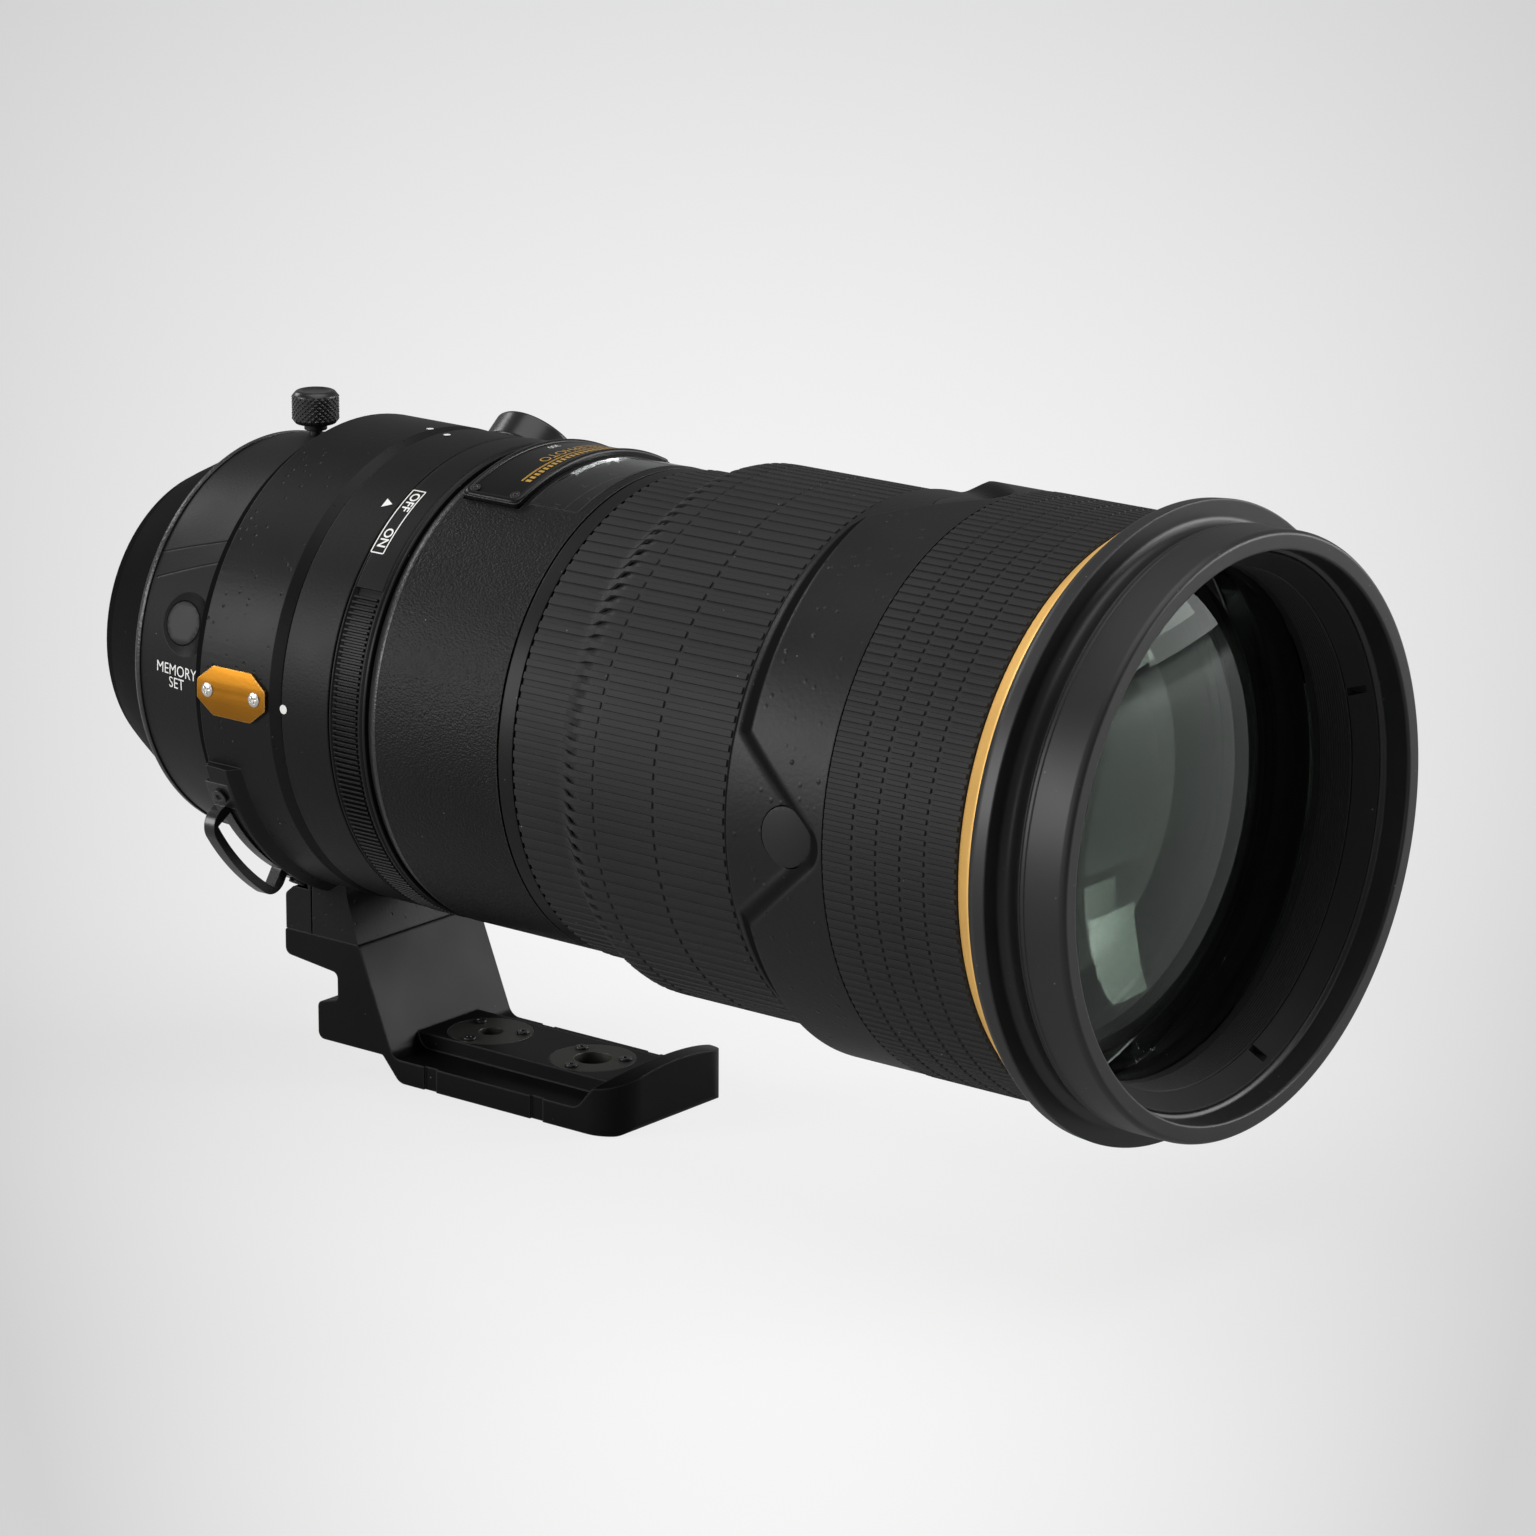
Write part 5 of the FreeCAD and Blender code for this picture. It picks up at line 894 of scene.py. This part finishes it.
def sink(x, arc):
    """Depth in millimetres at a distance x, an arc length away from the middle of a button."""
    ahead, side = x - TIP_X, abs(arc)
    if side < SLANT * ahead:
        inside = TIP_RADIUS - math.hypot(ahead, side)
    else:
        inside = (POINT_X - SLANT * side - x) * SLANT_COSINE
    share = min(1.0, max(0.0, (SLOPE_EDGE - x) / SLOPE_LENGTH, inside / WALL_WIDTH))
    soft, crisp = share * share * (3.0 - 2.0 * share), 1.0 - (1.0 - share) ** 2
    return DEEPEST * (0.6 * soft + 0.4 * crisp)


skin = [185.7 + 25.4 * step / SKIN_STEPS for step in range(SKIN_STEPS + 1)]
walls = [(211.1, 55.9), (247.6, 55.9), (247.6, 54.4), (211.6, 54.4), (211.6, 52.0), (187.3, 52.0),
         (187.3, 45.5), (122.9, 45.5), (122.9, 46.4), (124.3, 46.4), (124.3, 47.0), (185.3, 47.0),
         (185.3, 53.6)]
bm = bmesh.new()
rings = []
for step in range(TURN_STEPS):
    angle = 360.0 * step / TURN_STEPS
    arc = math.radians((angle + 45.0) % 90.0 - 45.0) * SKIN_RADIUS
    line = [(x, SKIN_RADIUS - sink(x, arc)) for x in skin] + walls
    rings.append([bm.verts.new(on_ring(x, r, angle)) for x, r in line])
bridge(bm, rings)
front_barrel = new_shell("front_barrel_shell", bm, front_paint)
bm = bmesh.new()
for quarter in range(4):
    made = bmesh.ops.create_cone(bm, segments=64, radius1=HOLE_RADIUS * MM, radius2=HOLE_RADIUS * MM,
                                 depth=8.0 * MM, cap_ends=True)
    outward = Matrix.Translation((BUTTON_X * MM, 0.0, 54.0 * MM))
    outward = Matrix.Rotation(math.radians(90.0 * quarter), 4, "X") @ outward
    bmesh.ops.transform(bm, matrix=outward, verts=made["verts"])
smooth(carved(front_barrel, new_piece("button holes", bm, front_paint)), 50.0)
mount(front_barrel, "chassis", "front_paint", "front_barrel")

# %% [markdown]
# ## Screws that show
# Two bright screws hold the gold plate. One screw is modelled: a low dome with a cross cut into it by
# a boolean. The point tree then sets a copy on each place, turned so that it stands on the collar.
# %% Bright screws
def cross_screw(name, radius, height, material):
    """A pan head that stands along +X at the origin, its cross recess cut out."""
    outline = [(0.0, 0.0), (0.0, radius, 0.1), (height * 0.5, radius, 0.1),
               (height, radius * 0.55, 0.3), (height * 1.05, 0.0)]
    head = lathe(name, outline, material, steps=28, closed=False)
    bm = bmesh.new()
    for size in ((1.0, radius * 1.1, radius * 0.26), (1.0, radius * 0.26, radius * 1.1)):
        made = bmesh.ops.create_cube(bm, size=1.0)
        bmesh.ops.scale(bm, vec=[s * MM for s in size], verts=made["verts"])
        bmesh.ops.translate(bm, vec=((height * 0.5 + 0.5) * MM, 0, 0), verts=made["verts"])
    return carved(head, new_piece("cross", bm, material), crossing=True)


def stand(direction, spin=0.0):
    """Euler angles that turn +X to a direction."""
    turn = Vector(direction).normalized().to_track_quat("X", "Z")
    return (turn @ Matrix.Rotation(spin, 3, "X").to_quaternion()).to_euler()


def on_points(name, template, places, material):
    """Copies of the template on (place, euler) pairs, by the point tree."""
    mesh = bpy.data.meshes.new(name)
    mesh.from_pydata([tuple(place) for place, _ in places], [], [])
    turns = mesh.attributes.new("turn", "FLOAT_VECTOR", "POINT")
    for index, (_, euler) in enumerate(places):
        turns.data[index].vector = tuple(euler)
    mesh.materials.append(material)
    piece = bpy.data.objects.new(name, mesh)
    bpy.context.scene.collection.objects.link(piece)
    run_tree(piece, point_tree, {"Part": template, "Finish": material})
    return smooth(piece, 35.0)


# The two screws of the gold plate leave the other screws' copy and come back as bright ones
PLATE_ANGLE = 2.0
plate_screw_places = [on_ring(x, 49.95, PLATE_ANGLE) for x in (47.6, 60.4)]
other_screws = refine("collar_screws_rounded", "collar_screws", knob_black, 0.1)
bm = bmesh.new()
bm.from_mesh(other_screws.data)
hidden = [v for v in bm.verts if any((v.co - place).length < 4.0 * MM for place in plate_screw_places)]
bmesh.ops.delete(bm, geom=hidden, context="VERTS")
bm.to_mesh(other_screws.data)
bm.free()
mount(other_screws, "collar", "screw_black", "collar_screws")
screw = cross_screw("plate screw", 1.5, 0.5, bright_screw)
outward = on_ring(0, 1.0, PLATE_ANGLE).normalized()
places = [(place, stand(outward, 0.5)) for place in plate_screw_places]
plate_screws = on_points("side_plate_screws", screw, places, bright_screw)
retire(screw)
mount(plate_screws, "collar", "screw_black")

# %% [markdown]
# ## The filter drawer's knob
# The drawer's knob has a diamond knurl. A knurl is a field of small four-sided pyramids set in rows
# that are shifted by half a step, so one pyramid and a list of points make it.
# %% Filter knob
KNOB_X, KNURL_RADIUS, KNURL_ROWS, KNURL_COLUMNS = 31.9, 4.66, 9, 24
upright = Matrix.Translation(Vector((KNOB_X, 0.0, 0.0)) * MM)
upright = upright @ Matrix.Rotation(math.radians(-90), 4, "Y")
knob = lathe("filter_knob_turned", [
    (38.2, 0.0), (38.2, 1.4), (44.6, 1.4), (44.8, 2.4, 0.2), (46.0, 2.4, 0.2), (46.15, 4.2, 0.2),
    (46.9, 4.7, 0.2), (52.1, 4.7, 0.2), (52.9, 4.1, 0.35), (53.1, 3.3, 0.3), (52.7, 2.4, 0.4),
    (52.65, 0.0)], knob_black, steps=64, closed=False)
knob.data.transform(upright)
bm = bmesh.new()
tip = bm.verts.new((0.34 * MM, 0, 0))
base = [bm.verts.new((-0.1 * MM, y * MM, z * MM))
        for y, z in ((0.62, 0), (0, 0.58), (-0.62, 0), (0, -0.58))]
for index in range(4):
    bm.faces.new((base[index], base[(index + 1) % 4], tip))
bm.faces.new(base[::-1])
pyramid = new_shell("knurl pyramid", bm, knob_black)
places = []
for row in range(KNURL_ROWS):
    centre = Vector((KNOB_X, 0, 47.2 + 0.57 * row)) * MM
    for column in range(KNURL_COLUMNS):
        azimuth = (column + 0.5 * (row % 2)) * 2 * math.pi / KNURL_COLUMNS
        outward = Vector((math.cos(azimuth), math.sin(azimuth), 0))
        places.append((centre + outward * KNURL_RADIUS * MM, stand(outward)))
knurl = on_points("filter_knob_knurl", pyramid, places, knob_black)
retire(pyramid)
mount(knob, "drawer_lock", "knob_black", "filter_knob")
mount(knurl, "drawer_lock", "knob_black")

# %% [markdown]
# ## The plate rim and the window
# The top plate has a raised rounded rim. It is a small tube led along the plate's outline, which is
# drawn as a rectangle with round corners on the unrolled barrel and then bent round it.
# %% Plate rim
def divided(line, step):
    """A closed line of 2-D points with its long stretches cut shorter than the step."""
    points = []
    for index, first in enumerate(line):
        second = line[(index + 1) % len(line)]
        parts = max(1, math.ceil((second - first).length / step))
        points += [first.lerp(second, part / parts) for part in range(parts)]
    return points


def sideways_at(path, index):
    """The direction across a closed path at one of its points."""
    course = (path[(index + 1) % len(path)] - path[index - 1]).normalized()
    return Vector((course.y, -course.x))


def bent(point, radius, lift=0.0):
    """A point (x, arc length) of the unrolled barrel, bent round at the radius; millimetres."""
    return on_ring(point.x, radius + lift, math.degrees(point.y / radius))


def arc_length(angle, radius):
    return math.radians(angle) * radius


def rectangle(x_from, x_to, angle_from, angle_to, radius, corner):
    """A rectangle with round corners, unrolled: distances in millimetres, angles in degrees."""
    low, high = arc_length(angle_from, radius), arc_length(angle_to, radius)
    spots_round = ((x_from, low), (x_to, low), (x_to, high), (x_from, high))
    return rounded([(x, y, corner) for x, y in spots_round])


def rim(name, line, radius, width, rise, material):
    """A low rounded bead along a closed line on the barrel."""
    section = ((-1.0, -0.3), (-1.0, 0.35), (-0.65, 0.85), (0.0, 1.0), (0.65, 0.85), (1.0, 0.35),
               (1.0, -0.3))
    path = divided(line, 1.2)
    bm = bmesh.new()
    rings = []
    for index, point in enumerate(path):
        across = sideways_at(path, index)
        rings.append([bm.verts.new(bent(point + across * side * width / 2, radius, height * rise))
                      for side, height in section])
    bridge(bm, rings)
    return smooth(new_shell(name, bm, material), 60.0)


PLATE_RADIUS, WINDOW_RADIUS = 50.4, 49.3
outline = rectangle(93.9, 107.4, 62.6, 117.4, PLATE_RADIUS, 1.6)
bead = rim("top_plate_rim", outline, PLATE_RADIUS - 0.05, 1.3, 0.5, plate_black)
mount(bead, "chassis", "plate_black")

# Fine raised line round the window
outline = rectangle(109.2, 121.5, 64.0, 116.0, WINDOW_RADIUS, 0.4)
bead = rim("window_rim", outline, WINDOW_RADIUS - 0.05, 0.35, 0.14, plate_black)
mount(bead, "chassis", "plate_black")

# %% [markdown]
# ## Printed marks
# Dots, the index triangle, the switch words and the scale numbers are ink. Each is a flat mesh that
# is drawn on the unrolled barrel and bent onto it, a few hundredths of a millimetre proud.
# %% Flat marks
INK = 0.03


def ink_piece(name, faces, radius, material, rise=0.0, level_at=0.0):
    """Flat faces of (x, arc length) points, bent round a barrel that widens by rise per mm of x."""
    bm = bmesh.new()
    for corners in faces:
        bm.faces.new([bm.verts.new(bent(Vector(corner), radius, INK + rise * (corner[0] - level_at)))
                      for corner in corners])
    bmesh.ops.remove_doubles(bm, verts=bm.verts, dist=1e-6)
    bmesh.ops.recalc_face_normals(bm, faces=bm.faces)
    if bm.faces[:] and bm.faces[0].normal.dot(Vector((0, *bm.faces[0].calc_center_median()[1:]))) < 0:
        bmesh.ops.reverse_faces(bm, faces=bm.faces)
    return new_piece(name, bm, material)


def disc_faces(x, angle, radius, size, sides=20):
    """A printed dot as a fan of triangles."""
    middle = Vector((x, arc_length(angle, radius)))
    turns = [2 * math.pi * k / sides for k in range(sides)]
    ring = [middle + Vector((math.cos(t), math.sin(t))) * size for t in turns]
    return [[middle, ring[k], ring[(k + 1) % sides]] for k in range(sides)]


def band_faces(line, width):
    """A closed printed line of a width, as quads."""
    path = divided(line, 1.0)
    sides = []
    for index, point in enumerate(path):
        across = sideways_at(path, index) * width / 2
        sides.append((point + across, point - across))
    faces = []
    for index, first in enumerate(sides):
        second = sides[(index + 1) % len(sides)]
        faces.append([first[0], first[1], second[1], second[0]])
    return faces


def word_faces(words, cap_height, x, angle, radius, along_ring, bold=0.0):
    """A plain word as triangles; it reads round the ring, downwards, or along the axis."""
    curve = bpy.data.curves.new(words, "FONT")
    curve.body = words
    curve.size = cap_height / 0.7
    curve.align_x = "CENTER"
    curve.align_y = "CENTER"
    curve.resolution_u = 3
    curve.offset = bold * cap_height
    holder = bpy.data.objects.new(words, curve)
    bpy.context.scene.collection.objects.link(holder)
    graph = bpy.context.evaluated_depsgraph_get()
    mesh = bpy.data.meshes.new_from_object(holder.evaluated_get(graph))
    middle = Vector((x, arc_length(angle, radius)))
    faces = []
    for face in mesh.polygons:
        corners = [mesh.vertices[index].co for index in face.vertices]
        if along_ring:
            faces.append([middle + Vector((c.y, -c.x)) for c in corners])
        else:
            faces.append([middle + Vector((c.x, c.y)) for c in corners])
    bpy.data.meshes.remove(mesh)
    retire(holder)
    return faces


# %% Marks on the chassis, the collar and the switch ring
INDEX_RADIUS, SWITCH_RADIUS, MEMORY_RADIUS = 49.15, 49.3, 43.4
MEMORY_SLOPE, MEMORY_LEVEL_AT = 0.1525, 29.7
triangle = [(x, arc_length(angle, INDEX_RADIUS))
            for x, angle in ((76.0, 57.2), (76.0, 54.4), (78.2, 55.8))]
index_marks = disc_faces(67.7, 1.0, INDEX_RADIUS, 0.95) + disc_faces(69.4, 88.5, INDEX_RADIUS, 0.75)
index_marks.append(triangle)
mount(ink_piece("index_marks", index_marks, 49.12, white_print), "chassis", "casing_paint")
collar_mark = disc_faces(63.3, 90.5, 49.2, 0.75)
mount(ink_piece("collar_mark", collar_mark, 49.2, white_print), "collar", "collar_paint")
switch_words = band_faces(rectangle(80.5, 83.75, 42.0, 61.2, SWITCH_RADIUS, 0.2), 0.28)
switch_words += word_faces("OFF", 2.1, 82.15, 57.3, SWITCH_RADIUS, True, 0.025)
switch_words += word_faces("ON", 2.1, 82.15, 46.2, SWITCH_RADIUS, True, 0.025)
mount(ink_piece("switch_words", switch_words, SWITCH_RADIUS, white_print), "stabiliser_control",
      "ring_plastic")
memory_words = word_faces("MEMORY", 2.25, 33.1, 2.5, MEMORY_RADIUS, False)
memory_words += word_faces("SET", 2.25, 33.1, -1.0, MEMORY_RADIUS, False)
mount(ink_piece("memory_words", memory_words, MEMORY_RADIUS + 0.06, white_print, MEMORY_SLOPE,
                MEMORY_LEVEL_AT), "chassis", "casing_paint")

# %% Gold bars, a plain word and a number on the top plate
BARS, BAR_PITCH, BAR_WIDTH, PRINT_FROM, PRINT_TO = 26, 1.55, 0.9, 70.0, 110.0
plate_print = []
for bar in range(BARS):
    start = PRINT_FROM + BAR_PITCH * bar
    low, high = arc_length(start, PLATE_RADIUS), arc_length(start + BAR_WIDTH, PLATE_RADIUS)
    plate_print.append([(104.3, low), (105.6, low), (105.6, high), (104.3, high)])
plate_print += word_faces("TELEPHOTO", 2.3, 101.4, 90.0, PLATE_RADIUS, True)
plate_print += band_faces(rectangle(103.4, 103.7, PRINT_FROM, PRINT_TO, PLATE_RADIUS, 0.1), 0.2)
mount(ink_piece("plate_gold_print", plate_print, 50.42, gold_print), "chassis", "plate_black")
small_print = word_faces("300", 1.5, 97.0, 90.0, PLATE_RADIUS, True)
mount(ink_piece("plate_small_print", small_print, 50.42, white_print), "chassis", "plate_black")

# %% [markdown]
# ## The distance scale under its window
# The scale is a drum that turns with the focus drive. It carries two rows of plain numbers, one for
# each unit of length, with a fine line between them, and shows through the window.
# %% Distance scale
SCALE_RADIUS, NUMBER_PITCH = 46.2, 11.0
scale_print = []
for step, label in enumerate(("3", "4", "5", "7", "10", "15", "30", "50")):
    for x, first_angle in ((112.6, 112.0), (118.0, 106.5)):
        scale_print += word_faces(label, 1.9, x, first_angle - NUMBER_PITCH * step, SCALE_RADIUS, True)
scale_print += band_faces(rectangle(115.2, 115.4, 30.0, 120.0, SCALE_RADIUS, 0.05), 0.15)
mount(ink_piece("distance_numbers", scale_print, 46.24, white_print), "focus_drive", "ring_plastic")
